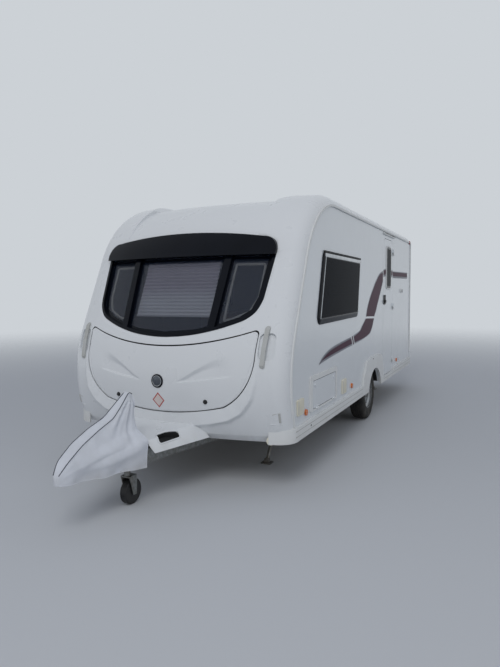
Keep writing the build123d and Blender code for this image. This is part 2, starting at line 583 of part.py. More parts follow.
band = extrude(plan_face(TRIM_PROUD, 16.0), SKIRT_Z1 - SKIRT_Z0)
band = Pos(0, 0, SKIRT_Z0) * band
band = band - (outer & block(-FAR, FAR, -FAR, FAR, 0, FAR))
band = band - block(-935, 935, -FAR, REAR_SEAM_Y - 400, 0, FAR)
core = extrude(plan_face(SEAT, SEAT), 200)
band = band - (Pos(0, 0, 380) * core)
trim_points = [(ARCH_TRIM_Y0, SKIRT_Z1 - 30), (AXLE_Y - 560, 640.0), (AXLE_Y - 420, 800.0), (AXLE_Y - 250, 826.0),
               (AXLE_Y + 250, 826.0), (AXLE_Y + 390, 796.0), (AXLE_Y + 470, 660.0), (AXLE_Y + 498, SKIRT_Z1 - 30)]
door_notch = block(BODY_HALF - 60, WIDTH, DOOR_Y0 - 22, DOOR_Y1 + 60, DOOR_Z0 - GAP - 2, FAR)
for side, name in ((1, "skirt_door_side"), (-1, "skirt_far_side")):
    half_band = band & block(0, side * FAR, -FAR, FAR, 0, FAR)
    trim = plate_x(trim_points, 0, BODY_HALF + SEAT, WIDTH / 2)
    trim = trim if side > 0 else mirror_x(trim)
    half_band = (half_band + trim) - rod_x(-FAR, FAR, AXLE_Y, ARCH_Z, ARCH_R - 8) - door_notch
    parts[name] = half_band

# Rear bumper with a blank plate recess, and the lamps
BUMPER_TOP = 620.0
bumper_half = BODY_HALF + 18
bumper = plate_z([(-bumper_half, REAR_SEAM_Y + 3), (bumper_half, REAR_SEAM_Y + 3), (bumper_half, REAR_WALL - 40),
                  (bumper_half - 120, REAR), (-bumper_half + 120, REAR), (-bumper_half, REAR_WALL - 40)],
                 0, SKIRT_Z0, BUMPER_TOP)
bumper = bumper - hull(-SEAT)
bumper = bumper - block(-275, 275, REAR - 10, REAR + 10, 455.0, 585.0)
parts["rear_bumper"] = bumper

lamps = []
for side in (-1, 1):
    x = side * 800.0
    lamp = plate_y([(x - 130, 640.0), (x + 130, 640.0), (x + 130, 760.0), (x - 130, 760.0)], 40,
                   REAR_WALL + SEAT, REAR_WALL + 30)
    lamps.append(lamp)
parts["rear_lamps"] = Compound(children=lamps)

MARKER = 28.0
LAMP_Z = 603.0
side_lamps = []
for side in (-1, 1):
    for y in (LOCKER_Y0 - 170.0, LAMP_MID_Y, AXLE_Y + 1500.0):
        lens = rod_x(BODY_HALF + SEAT, BODY_HALF + SEAT + 14, y, LAMP_Z, MARKER)
        side_lamps.append(lens if side > 0 else mirror_x(lens))
parts["side_lamps"] = Compound(children=side_lamps)

# Awning rails over the wall seams
RAIL_WIDE = 20.0
in_lines, in_low, in_top = front_lines(ROOF_TOP, SEAM_INSET + RAIL_WIDE / 2, SEAM_SHIFT)
out_lines, out_low, out_top = front_lines(ROOF_TOP, SEAM_INSET - RAIL_WIDE / 2, SEAM_SHIFT)
rail_outer = outline_x(
    out_lines + [Polyline(out_top, (REAR_SEAM_Y + RAIL_WIDE / 2, out_top[1]),
                          (REAR_SEAM_Y + RAIL_WIDE / 2, SHELL_BOTTOM), out_low)], BODY_HALF - 60, WIDTH / 2)
rail_inner = outline_x(
    in_lines + [Polyline(in_top, (REAR_SEAM_Y - RAIL_WIDE / 2, in_top[1]),
                         (REAR_SEAM_Y - RAIL_WIDE / 2, SHELL_BOTTOM), in_low)], BODY_HALF - 100, WIDTH / 2 + 10)
rail = (rail_outer - rail_inner) & block(0, WIDTH / 2 - 12, -FAR, FAR, SKIRT_Z1 + 1, FAR)
rail = rail - outer - block(0, FAR, REAR_SEAM_Y - 12, FAR, 0, BUMPER_TOP + 1)
parts["awning_rails"] = Compound(children=[rail, mirror_x(rail)])

# Chassis: a V drawbar running back into two main members, with cross members


def channel(p, q, side):
    """A C-section member between two (x, y) points, open towards the centre line."""
    axis = Vector(q[0] - p[0], q[1] - p[1], 0)
    plane = Plane(origin=(p[0], p[1], MEMBER_TOP - MEMBER_DEEP / 2), x_dir=(0, 0, 1), z_dir=axis)
    solid = extrude(plane * Rectangle(MEMBER_DEEP, MEMBER_WIDE), axis.length)
    inside = Pos(0, 0) * Rectangle(MEMBER_DEEP - 2 * MEMBER_SKIN, MEMBER_WIDE)
    inside = extrude(plane * (Pos(0, -MEMBER_SKIN * side) * inside), axis.length)
    return solid - inside


chassis = None
for side in (-1, 1):
    drawbar = channel((side * V_HALF, V_FRONT_Y), (side * MEMBER_X, V_END_Y), side)
    main = channel((side * MEMBER_X, V_END_Y - 60), (side * MEMBER_X, REAR_SEAM_Y - 60), side)
    chassis = drawbar + main if chassis is None else chassis + drawbar + main
for y in (V_END_Y, AXLE_Y + 700, REAR_SEAM_Y - 90):
    chassis = chassis + block(-MEMBER_X, MEMBER_X, y - 25, y + 25, MEMBER_TOP - 70, MEMBER_TOP - 64)
    chassis = chassis + block(-MEMBER_X, MEMBER_X, y - 25, y - 20, MEMBER_TOP - 70, MEMBER_TOP)
chassis = chassis + block(-cross_half, cross_half, NOSE_CROSS_Y - 30, NOSE_CROSS_Y + 30, MEMBER_TOP - 60, MEMBER_TOP)
parts["chassis_frame"] = chassis

# Axle tube on its brackets, and the swing arms that carry the wheels
TUBE_Y = AXLE_Y - 150.0
TUBE_Z = TYRE_R - 50.0
TUBE_R = 42.0
axle = rod_x(-760, 760, TUBE_Y, TUBE_Z, TUBE_R)
for side in (-1, 1):
    hanger = block(side * (MEMBER_X - 45), side * (MEMBER_X + 30), TUBE_Y - 70, TUBE_Y + 70, TUBE_Z + 20,
                   MEMBER_TOP - MEMBER_DEEP - SEAT)
    axle = axle + hanger
parts["axle"] = axle
arms = []
for side in (-1, 1):
    x0 = 760.0 + SEAT
    arm = plate_x([(TUBE_Y - 55, TUBE_Z - 45), (TUBE_Y - 55, TUBE_Z + 45), (AXLE_Y + 45, TYRE_R + 42),
                   (AXLE_Y + 45, TYRE_R - 42)], 30, x0, x0 + 28)
    plate = rod_x(x0 + 28, x0 + 34, AXLE_Y, TYRE_R, 110)
    stub = rod_x(x0 + 20, WHEEL_X + 40, AXLE_Y, TYRE_R, STUB_R)
    piece = arm + plate + stub
    arms.append(piece if side > 0 else mirror_x(piece))
parts["swing_arms"] = Compound(children=arms)

# Wheels: tyre and pressed rim, one body each
HUB_R = 62.0
RIM_WINDOWS = 10


def tyre():
    """A road tyre about the x axis, centred on its own width."""
    w = TYRE_WIDTH / 2
    profile = [
        Polyline((-w + 22, RIM_R + 4), (-w + 8, RIM_R + 4), (-w, RIM_R + 48)),
        ThreePointArc((-w, RIM_R + 48), (-w - 2, RIM_R + 80), (-w + 12, TYRE_R - 18)),
        ThreePointArc((-w + 12, TYRE_R - 18), (-w + 20, TYRE_R - 8), (-w + 34, TYRE_R - 3)),
        ThreePointArc((-w + 34, TYRE_R - 3), (0, TYRE_R), (w - 34, TYRE_R - 3)),
        ThreePointArc((w - 34, TYRE_R - 3), (w - 20, TYRE_R - 8), (w - 12, TYRE_R - 18)),
        ThreePointArc((w - 12, TYRE_R - 18), (w + 2, RIM_R + 80), (w, RIM_R + 48)),
        Polyline((w, RIM_R + 48), (w - 8, RIM_R + 4), (-w + 22, RIM_R + 4)),
    ]
    wire = Wire([edge for line in profile for edge in line.edges()])
    return revolve(make_face(Plane.XZ * wire), Axis.X, 360)


def rim():
    """A wheel about the x axis with a windowed disc near its outer side."""
    w = TYRE_WIDTH / 2 - 8
    bead = RIM_R + 4 - SEAT
    barrel = [(-w, bead), (-w + 18, bead), (-w + 34, RIM_R - 18), (w - 44, RIM_R - 18), (w - 20, bead),
              (w, bead), (w, RIM_R - 2), (w - 22, RIM_R - 4), (w - 42, RIM_R - 24), (-w + 36, RIM_R - 24),
              (-w + 20, RIM_R - 4), (-w, RIM_R - 2)]
    body = revolve(make_face(Plane.XZ * Polyline(*barrel, close=True)), Axis.X, 360)
    dish = [(22, RIM_R - 21), (30, 130.0), (44, 95.0), (46, HUB_R), (46, STUB_R + RUN_FIT), (-70, STUB_R + RUN_FIT),
            (-70, HUB_R), (20, HUB_R + 4), (22, 95.0), (10, 135.0), (8, RIM_R - 21)]
    body = body + revolve(make_face(Plane.XZ * Polyline(*dish, close=True)), Axis.X, 360)
    for k in range(RIM_WINDOWS):
        cut = Rot(k * 360 / RIM_WINDOWS, 0, 0) * (Pos(20, 0, 122) * Rot(0, 90, 0) * Cylinder(17, 80))
        body = body - cut
    cap = revolve(make_face(Plane.XZ * Polyline((45, 0), (45, 36), (52, 34), (58, 24), (60, 0), close=True)), Axis.X, 360)
    return body + cap


for side, name in ((1, "door_side"), (-1, "far_side")):
    seat = Pos(side * WHEEL_X, AXLE_Y, TYRE_R)
    tyre_solid = tyre()
    rim_solid = rim()
    if side < 0:
        tyre_solid = mirror_x(tyre_solid)
        rim_solid = mirror_x(rim_solid)
    parts["tyre_" + name] = seat * tyre_solid
    parts["rim_" + name] = seat * rim_solid

# Corner steadies, wound down
STEADY_X = 590.0
STEADY_AXIS_Z = 392.0
STEADY_REACH = 250.0
STEADY_APART = 115.5968
STEADY_SHARE = (STEADY_X - STEADY_APART - V_HALF) / (MEMBER_X - V_HALF)
STEADY_FRONT_Y = V_FRONT_Y + STEADY_SHARE * (V_END_Y - V_FRONT_Y)
FOOT_CLEAR = 1.0
STEADIES = [
    # name, side, y of the pivot, way the foot points
    ("steady_front_door_side", 1, STEADY_FRONT_Y, -1),
    ("steady_front_far_side", -1, STEADY_FRONT_Y, -1),
    ("steady_rear_door_side", 1, REAR_WALL - 800.0, 1),
    ("steady_rear_far_side", -1, REAR_WALL - 800.0, 1),
]
brackets = []
for name, side, y, way in STEADIES:
    x = side * STEADY_X
    foot_y = y + way * STEADY_REACH
    leg = bar((x, y, STEADY_AXIS_Z), (x, foot_y, 30.0), 17)
    eye = rod_x(x - 20, x + 20, y, STEADY_AXIS_Z, 22)
    foot = plate_z([(x - 50, foot_y - 50), (x + 50, foot_y - 50), (x + 50, foot_y + 50), (x - 50, foot_y + 50)], 14,
                   FOOT_CLEAR, FOOT_CLEAR + 10)
    ankle = block(x - 22, x + 22, foot_y - 20, foot_y + 20, FOOT_CLEAR + 9, 46.0)
    leg = leg + eye + foot + ankle
    leg = leg - rod_x(x - 40, x + 40, y, STEADY_AXIS_Z, 8 + RUN_FIT)
    parts[name] = leg
    pin = rod_x(x - 34, x + 34, y, STEADY_AXIS_Z, 8)
    for e in (-1, 1):
        pin = pin + block(x + e * 26, x + e * 34, y - 26, y + 26, STEADY_AXIS_Z - 24, WALL_BOTTOM - SEAT)
    brackets.append(pin)
parts["steady_brackets"] = Compound(children=brackets)

# Coupling head on its overrun shaft, with the socket for the tow ball
HEAD_R = 46.0
head = rod_z(0, BALL_Y, BALL_Z - 12, BALL_Z + 34, HEAD_R)
head = head + block(-34, 34, BALL_Y, BALL_Y + 190, BALL_Z - 8, BALL_Z + 44)
head = head + (Pos(0, BALL_Y, BALL_Z + 34) * Cone(HEAD_R, 24, 34, align=(Align.CENTER, Align.CENTER, Align.MIN)))
head = head + block(-22, 22, BALL_Y - 10, BALL_Y + 150, BALL_Z + 60, BALL_Z + 84)
head = head + block(-16, 16, BALL_Y + 120, BALL_Y + 170, BALL_Z + 40, BALL_Z + 62)
head = head - rod_z(0, BALL_Y, BALL_Z - 20, BALL_Z + 8, BALL_BORE_R)
head = head - (Pos(0, BALL_Y, BALL_Z + 8) * Sphere(BALL_BORE_R))
shaft_long = V_FRONT_Y + 260 - BALL_Y - 190
shaft = Pos(0, BALL_Y + 190 + shaft_long / 2, BALL_Z + 14) * Rot(90, 0, 0) * Cylinder(25, shaft_long)
head = head + shaft
parts["coupling_head"] = head
house_y0 = V_FRONT_Y + 42
house_y1 = V_FRONT_Y + 295
housing = block(-V_HALF + 12, V_HALF - 12, house_y0, house_y1, MEMBER_TOP + SEAT, MEMBER_TOP + 62)
bore = Pos(0, (house_y0 + house_y1) / 2, BALL_Z + 14) * Rot(90, 0, 0) * Cylinder(25 + SEAT, house_y1 - house_y0 + 2)
housing = housing + block(-V_HALF - 20, V_HALF + 20, house_y0, house_y1, MEMBER_TOP + SEAT, MEMBER_TOP + 8)
housing = housing - bore
parts["overrun_housing"] = housing
LEVER_TOP = 900.0
lever_y = house_y1 - 45
lever = plate_x([(lever_y - 22, MEMBER_TOP + 62.5), (JOCKEY_Y + 8, LEVER_TOP), (JOCKEY_Y + 34, LEVER_TOP - 6),
                 (lever_y + 22, MEMBER_TOP + 62.5)], 6, 30, 42)

# Jockey wheel: clamp and outer tube on the drawbar, inner tube with its fork, and the wheel
TUBE_OUT_R = 30.0
TUBE_IN_R = 24.0
JOCKEY_TOP = 620.0
JOCKEY_LOW = 350.0
post = rod_z(JOCKEY_X, JOCKEY_Y, JOCKEY_LOW, JOCKEY_TOP, TUBE_OUT_R)
post = post - rod_z(JOCKEY_X, JOCKEY_Y, JOCKEY_LOW - 5, JOCKEY_TOP - 60, TUBE_IN_R + RUN_FIT)
web_x = [drawbar_x(JOCKEY_Y + dy) + (MEMBER_WIDE / 2 - MEMBER_SKIN) * 1.021 - SEAT for dy in (-30, 30)]
post = post + plate_z([(JOCKEY_X + 20, JOCKEY_Y - 30), (web_x[0], JOCKEY_Y - 30), (web_x[1], JOCKEY_Y + 30),
                       (JOCKEY_X + 20, JOCKEY_Y + 30)], 0, MEMBER_TOP - 80, MEMBER_TOP - 20)
post = post - rod_z(JOCKEY_X, JOCKEY_Y, JOCKEY_LOW - 5, JOCKEY_TOP - 60, TUBE_IN_R + RUN_FIT)
post = post + rod_z(JOCKEY_X, JOCKEY_Y, JOCKEY_TOP - 2, JOCKEY_TOP + 30, 10)
post = post + block(JOCKEY_X - 86, JOCKEY_X, JOCKEY_Y - 8, JOCKEY_Y + 8, JOCKEY_TOP + 22, JOCKEY_TOP + 30)
post = post + rod_z(JOCKEY_X - 78, JOCKEY_Y, JOCKEY_TOP + 24, JOCKEY_TOP + 110, 10)
YOKE_Z = 232.0
TRAIL = 38.0
WHEEL_HALF = 30.0
inner_tube = rod_z(JOCKEY_X, JOCKEY_Y, YOKE_Z, JOCKEY_TOP - 200, TUBE_IN_R)
parts["jockey_tube"] = inner_tube
parts["jockey_clamp"] = post
fork_y = JOCKEY_Y + TRAIL
fork = block(JOCKEY_X - WHEEL_HALF - 14, JOCKEY_X + WHEEL_HALF + 14, JOCKEY_Y - 26, fork_y + 26, YOKE_Z - 10, YOKE_Z - SEAT)
for e in (-1, 1):
    cheek = plate_x([(JOCKEY_Y - 26, YOKE_Z - 2), (fork_y + 26, YOKE_Z - 2), (fork_y + 20, JOCKEY_WHEEL_R - 22),
                     (fork_y - 20, JOCKEY_WHEEL_R - 22)], 4, JOCKEY_X + e * (WHEEL_HALF + 14) - (6 if e > 0 else 0),
                    JOCKEY_X + e * (WHEEL_HALF + 14) + (0 if e > 0 else 6))
    fork = fork + cheek
fork = fork + rod_x(JOCKEY_X - WHEEL_HALF - 12, JOCKEY_X + WHEEL_HALF + 12, fork_y, JOCKEY_WHEEL_R, 8)
parts["jockey_fork"] = fork
jockey = rod_x(JOCKEY_X - WHEEL_HALF, JOCKEY_X + WHEEL_HALF, fork_y, JOCKEY_WHEEL_R, JOCKEY_WHEEL_R)
jockey = fillet(jockey.edges().filter_by(GeomType.CIRCLE), 12)
jockey = jockey - rod_x(JOCKEY_X - 60, JOCKEY_X + 60, fork_y, JOCKEY_WHEEL_R, 8 + RUN_FIT)
parts["jockey_wheel"] = jockey

# Drawbar fairing between the hitch cover and the front panel
FAIR_SKIN = 4.0
FAIR_SECTIONS = [
    # y, half width and height of the lower edge, half width and height of the flat top
    (FAIR_Y0, 250.0, 415.0, 165.0, 500.0),
    (NOSE + 105.0, 440.0, 440.0, 343.0, 564.0),
]
# The hand hole in each sloping side: x from the middle, y behind the fairing's front
FAIR_HOLE = [(164, 123), (199, 205), (277, 270), (302, 262), (234, 78)]


def fairing(step):
    """The fairing's outer form, or what is hollowed out of it, as a loft of two sections."""
    sections = []
    for y, low, low_z, high, high_z in FAIR_SECTIONS:
        points = [(-low + step, low_z - step), (-high + step * 0.6, high_z - step), (high - step * 0.6, high_z - step),
                  (low - step, low_z - step)]
        wire = Polyline(*[(x, y, z) for x, z in points], close=True)
        sections.append(make_face(wire))
    return loft(sections, ruled=True)


cover = fairing(0) - fairing(FAIR_SKIN)
cover = cover - bowed(ROOF_TOP, -SEAT)
for side in (-1, 1):
    hole = [(side * x, FAIR_Y0 + dy) for x, dy in FAIR_HOLE]
    cover = cover - plate_z(hole, 9, FAIR_SECTIONS[0][2] - 30, FAIR_SECTIONS[1][4] + 10)
parts["drawbar_fairing"] = cover

# Fabric hitch cover: a hood open below and behind, its top rising over the raised handbrake lever
COVER_SKIN = 6.0
COVER_ROWS = [
    # y, half width and height at the hem, at the shoulder, at the waist and at the top
    (NOSE - COVER_REACH, 30.0, 380.0, 30.0, 405.0, 29.0, 420.0, 26.0, 438.0),
    (NOSE - COVER_REACH + 55.0, 55.0, 372.0, 58.0, 440.0, 56.0, 475.0, 48.0, 508.0),
    (V_FRONT_Y - 110.0, 85.0, 358.0, 92.0, 470.0, 80.0, 535.0, 55.0, 597.0),
    (V_FRONT_Y + 50.0, 115.0, 345.0, 125.0, 485.0, 95.0, 585.0, 55.0, 664.0),
    (JOCKEY_Y - 170.0, 145.0, 332.0, 150.0, 500.0, 100.0, 600.0, 55.0, 712.0),
    (JOCKEY_Y - 90.0, 162.0, 322.0, 165.0, 510.0, 100.0, 605.0, 55.0, 785.0),
    (JOCKEY_Y + 20.0, 190.0, 308.0, 185.0, 530.0, 100.0, 600.0, 55.0, 886.0),
    (FAIR_Y0 - 10.0, 200.0, 303.0, 195.0, 530.0, 100.0, 590.0, 55.0, 862.0),
]


def hood(step):
    """The hood's outer form, or the space inside it."""
    sections = []
    for k, (row_y, hem, hem_z, wide, wide_z, waist, waist_z, top, top_z) in enumerate(COVER_ROWS):
        y = row_y + (step if k == 0 else 0) + (5 * step if k == len(COVER_ROWS) - 1 else 0)
        low = hem_z - (40.0 if step else 0.0)
        half = [(hem - step, low), (wide - step, wide_z - step), (waist - step, waist_z - step),
                (top - step, top_z - 1.6 * step)]
        points = [(-x, y, z) for x, z in half] + [(x, y, z) for x, z in reversed(half)]
        sections.append(make_face(Polyline(*points, close=True)))
    return loft(sections, ruled=True)


parts["hitch_cover"] = hood(0) - hood(COVER_SKIN)
parts["handbrake_lever"] = lever & hood(COVER_SKIN + SEAT)

# What shows through the windows: two benches with their cushions, a chest between them and the kitchen
BENCH_Y0 = LOCKER_BACK_Y + 10.0
BENCH_DEEP = 650.0
SEAT_Z = 850.0
BOARD = 15.0
CUSHION = 115.0
BACK_Z = 1400.0
CHEST_GAP = 115.0
CHEST_HALF = INNER_HALF - BENCH_DEEP - CHEST_GAP
CHEST_DEEP = 450.0
KITCHEN_DEEP = 500.0
KITCHEN_TOP = FLOOR_Z1 + 905.0
KITCHEN_Y0 = AXLE_Y - 700.0
KITCHEN_Y1 = AXLE_Y + 430.0
KITCHEN_GAP = 155.0
base_z = FLOOR_Z1 + SEAT
bench_y1 = KITCHEN_Y0 - KITCHEN_GAP
bench_x0 = INNER_HALF - BENCH_DEEP
bench_x1 = INNER_HALF - SEAT
bases = []
cushions = []
for side in (-1, 1):
    front_board = block(bench_x0, bench_x0 + BOARD, BENCH_Y0, bench_y1, base_z, SEAT_Z)
    top_board = block(bench_x0, bench_x1, BENCH_Y0, bench_y1, SEAT_Z - BOARD, SEAT_Z)
    end_board = block(bench_x0, bench_x1, bench_y1 - BOARD, bench_y1, base_z, SEAT_Z)
    base = front_board + top_board + end_board
    seat_pad = block(bench_x0 - 20, bench_x1 - 10, BENCH_Y0 + 5, bench_y1, SEAT_Z + SEAT, SEAT_Z + CUSHION)
    seat_pad = fillet(seat_pad.edges(), 28)
    back_pad = block(bench_x1 - 10 - CUSHION, bench_x1 - 10, BENCH_Y0 + 5, bench_y1, SEAT_Z + CUSHION + SEAT, BACK_Z)
    back_pad = fillet(back_pad.edges(), 28)
    bases.append(base if side > 0 else mirror_x(base))
    for pad in (seat_pad, back_pad):
        cushions.append(pad if side > 0 else mirror_x(pad))
parts["seat_bases"] = Compound(children=bases)
parts["seat_cushions"] = Compound(children=cushions)
chest_y1 = BENCH_Y0 + CHEST_DEEP
chest_top = LOCKER_TOP - 40.0
chest = block(-CHEST_HALF, CHEST_HALF, BENCH_Y0, chest_y1, chest_top - 25, chest_top)
chest = chest + block(-CHEST_HALF, CHEST_HALF, chest_y1 - BOARD - 15, chest_y1 - 15, base_z, chest_top)
for side in (-1, 1):
    x = side * (CHEST_HALF - 12)
    chest = chest + block(x - BOARD / 2, x + BOARD / 2, BENCH_Y0, chest_y1 - 15, base_z, chest_top)
parts["front_chest"] = chest
kitchen_x = KITCHEN_DEEP - INNER_HALF
kitchen = block(kitchen_x - BOARD, kitchen_x, KITCHEN_Y0, KITCHEN_Y1, base_z, KITCHEN_TOP)
kitchen = kitchen + block(SEAT - INNER_HALF, kitchen_x + 20, KITCHEN_Y0, KITCHEN_Y1, KITCHEN_TOP - 28, KITCHEN_TOP)
for y in (KITCHEN_Y0, KITCHEN_Y1 - BOARD):
    kitchen = kitchen + block(SEAT - INNER_HALF, kitchen_x, y, y + BOARD, base_z, KITCHEN_TOP)
parts["kitchen_unit"] = kitchen

# Fittings on the door side: catch plates, a rain rail over the door and the door's retainer
DRIP_Z = DOOR_Z1 + 52.0


def plate_on_wall(y0, y1, z0, z1, radius, thick):
    """A rounded plate lying on the door-side wall."""
    x0 = BODY_HALF + SEAT
    return plate_x([(y0, z0), (y1, z0), (y1, z1), (y0, z1)], radius, x0, x0 + thick)


fittings = [
    plate_on_wall(LOCKER_Y0 - 385, LOCKER_Y0 - 235, 610.0, 742.0, 12, 12),
    plate_on_wall(CATCH_Y0, CATCH_Y1, 572.0, 722.0, 12, 12),
    plate_on_wall(DOOR_Y0 - 20, DOOR_Y1 + 70, DRIP_Z, DRIP_Z + 22, 9, 20),
    plate_on_wall(DOOR_Y1 + 625, DOOR_Y1 + 685, 1635.0, 1685.0, 12, 22),
]
parts["side_fittings"] = Compound(children=fittings)

# Hatches and vents on the far side: y from the axle, z, half length, half height
HATCHES = [
    (-850.0, 1080.0, 215.0, 92.0),  # upper refrigerator vent
    (-850.0, 720.0, 215.0, 92.0),  # lower refrigerator vent
    (-1400.0, 690.0, 150.0, 110.0),  # mains and battery box
    (-2180.0, 690.0, 110.0, 80.0),  # water inlet
    (2010.0, 800.0, 190.0, 165.0),  # washroom hatch
]
HATCH_THICK = 14.0
hatches = []
for dy, z, half_y, half_z in HATCHES:
    y = AXLE_Y + dy
    x0 = BODY_HALF + SEAT
    hatch = plate_x([(y - half_y, z - half_z), (y + half_y, z - half_z), (y + half_y, z + half_z),
                     (y - half_y, z + half_z)], 20, x0, x0 + HATCH_THICK)
    if half_z < 100:
        for k in range(6):
            slot_z = z - half_z + 26 + k * (2 * half_z - 52) / 5
            hatch = hatch - block(x0 + 5, x0 + 30, y - half_y + 24, y + half_y - 24, slot_z - 6, slot_z + 6)
    hatches.append(mirror_x(hatch))
parts["far_hatches"] = Compound(children=hatches)

# Grab handles at the front corners, and rooflights
GRAB_HALF = 19.0
GRAB_PROUD = 20.0
GRAB_THICK = 13.0
GRAB_TILT = 2.6
FOOT = 58.0
handles = []
grab_out = [(z, front_at(GRAB_X, z) - GRAB_PROUD) for z in (GRAB_Z0 + 26, (GRAB_Z0 + GRAB_Z1) / 2, GRAB_Z1 - 26)]
grab_in = [(z, front_at(GRAB_X, z) - GRAB_PROUD + GRAB_THICK)
           for z in (GRAB_Z1 - FOOT, (GRAB_Z0 + GRAB_Z1) / 2, GRAB_Z0 + FOOT)]
profile = [(GRAB_Z0, front_at(GRAB_X, GRAB_Z0) + 30)] + [(GRAB_Z0, front_at(GRAB_X, GRAB_Z0) - 6)]
profile = profile + grab_out + [(GRAB_Z1, front_at(GRAB_X, GRAB_Z1) - 6), (GRAB_Z1, front_at(GRAB_X, GRAB_Z1) + 30)]
profile = profile + [(GRAB_Z1 - FOOT, front_at(GRAB_X, GRAB_Z1) + 30)] + grab_in
profile = profile + [(GRAB_Z0 + FOOT, front_at(GRAB_X, GRAB_Z0) + 60)]
grab = plate_x([(y, z) for z, y in profile], 0, GRAB_X - GRAB_HALF, GRAB_X + GRAB_HALF)
slot = plate_y([(GRAB_X - GRAB_HALF, GRAB_Z0), (GRAB_X + GRAB_HALF, GRAB_Z0), (GRAB_X + GRAB_HALF, GRAB_Z1),
                (GRAB_X - GRAB_HALF, GRAB_Z1)], GRAB_HALF - 0.5, NOSE - 60, NOSE + 400)
grab = (grab & slot).rotate(Axis((GRAB_X, 0, (GRAB_Z0 + GRAB_Z1) / 2), (0, 1, 0)), GRAB_TILT)
grab = grab - hull(-SEAT)
for side in (-1, 1):
    handles.append(grab if side > 0 else mirror_x(grab))
parts["grab_handles"] = Compound(children=handles)

vents = []
for y, wide in ((NOSE + 2300.0, 420.0), (REAR_WALL - 900.0, 300.0)):
    half = wide / 2
    vent = plate_z([(-half, y - half), (half, y - half), (half, y + half), (-half, y + half)], 40,
                   ROOF_TOP + SEAT, ROOF_TOP + 18)
    vents.append(vent)
parts["rooflights"] = Compound(children=vents)

os.makedirs("parts", exist_ok=True)
for name, shape in parts.items():
    export_step(shape, os.path.join("parts", name + ".step"))
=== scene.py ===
import bpy
import bmesh
import numpy as np
from math import cos, exp, hypot, pi, radians, sin, sqrt
from mathutils import Matrix, Vector, noise


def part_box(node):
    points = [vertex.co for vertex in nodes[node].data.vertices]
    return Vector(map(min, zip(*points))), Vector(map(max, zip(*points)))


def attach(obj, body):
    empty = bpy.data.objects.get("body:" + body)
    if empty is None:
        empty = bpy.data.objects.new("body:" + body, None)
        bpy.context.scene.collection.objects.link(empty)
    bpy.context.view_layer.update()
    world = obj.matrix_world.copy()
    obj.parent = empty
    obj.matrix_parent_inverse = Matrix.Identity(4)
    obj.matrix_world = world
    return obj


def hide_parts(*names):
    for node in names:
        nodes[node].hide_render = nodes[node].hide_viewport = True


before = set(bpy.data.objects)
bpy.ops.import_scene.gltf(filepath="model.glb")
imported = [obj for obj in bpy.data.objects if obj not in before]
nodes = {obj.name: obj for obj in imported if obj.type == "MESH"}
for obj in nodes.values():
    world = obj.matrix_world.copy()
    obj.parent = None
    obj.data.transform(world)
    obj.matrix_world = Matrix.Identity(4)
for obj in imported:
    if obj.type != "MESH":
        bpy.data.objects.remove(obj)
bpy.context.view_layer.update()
MAIN = "caravan"

# Sizes read from the frame, in metres
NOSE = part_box("locker_lid")[0].y
SIDE_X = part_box("side_wall_door")[1].x
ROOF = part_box("roof_panel")[1].z
REAR_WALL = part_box("rear_panel")[1].y
DOOR_LOW, DOOR_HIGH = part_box("entrance_door")
WHEEL_LOW, WHEEL_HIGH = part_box("tyre_door_side")
AXLE_Y = (WHEEL_LOW.y + WHEEL_HIGH.y) / 2
TYRE_R = (WHEEL_HIGH.z - WHEEL_LOW.z) / 2
WHEEL_X = (WHEEL_LOW.x + WHEEL_HIGH.x) / 2
SEAT = 0.0004

# Shape of the bowed front, as the front moulding has it
BOW_R = 3.7
NOSE_R = 1.04
NOSE_Z = 0.897
LEAN = radians(23.5)
BROW_Z = 2.0


def srgb(r, g, b):
    """A linear colour from one given as 0 to 255."""
    out = []
    for v in (r, g, b):
        c = v / 255
        out.append(c / 12.92 if c <= 0.04045 else ((c + 0.055) / 1.055) ** 2.4)
    return (*out, 1.0)


# Camera at the photograph's place and angle
CAMERA_PLACE = (2.662, -6.084, 1.618)
CAMERA_YAW = radians(25.99)
CAMERA_PITCH = radians(-4.15)
CAMERA_ROLL = radians(-0.44)
CAMERA_LENS = 28.85


def make_camera():
    """The camera, aimed by its yaw, pitch and roll."""
    data = bpy.data.cameras.new("view")
    data.sensor_width = 36.0
    data.lens = CAMERA_LENS
    data.clip_end = 200.0
    obj = bpy.data.objects.new("view", data)
    ahead = Vector((-sin(CAMERA_YAW) * cos(CAMERA_PITCH), cos(CAMERA_YAW) * cos(CAMERA_PITCH),
                    sin(CAMERA_PITCH)))
    level = Vector((cos(CAMERA_YAW), sin(CAMERA_YAW), 0.0))
    up = level.cross(ahead)
    right = cos(CAMERA_ROLL) * level + sin(CAMERA_ROLL) * up
    up = -sin(CAMERA_ROLL) * level + cos(CAMERA_ROLL) * up
    turn = Matrix((right, up, -ahead)).transposed()
    obj.matrix_world = Matrix.Translation(CAMERA_PLACE) @ turn.to_4x4()
    bpy.context.scene.collection.objects.link(obj)
    bpy.context.scene.camera = obj


def link(tree, *pairs):
    """Joins each output to its input."""
    for source, target in pairs:
        tree.links.new(source, target)


# Overcast sky: height from straight down at 0 to straight up at 1, and the colour there
SKY = [(0.40, (0.16, 0.16, 0.16, 1)), (0.50, (0.55, 0.58, 0.63, 1)), (0.60, (1.0, 1.0, 1.0, 1)),
       (0.78, (0.62, 0.66, 0.74, 1)), (1.0, (0.38, 0.42, 0.50, 1))]
SKY_STRENGTH = 0.60
BACKDROP = (204, 209, 214)
LAMPS = [
    # name, place, aim, size in metres, watts
    ("key", (3.0, -9.4, 9.0), (0, -1.5, 1.2), 5.0, 320.0),
    ("fill", (10.0, 1.0, 6.0), (0, 0.5, 1.2), 6.0, 30.0),
]


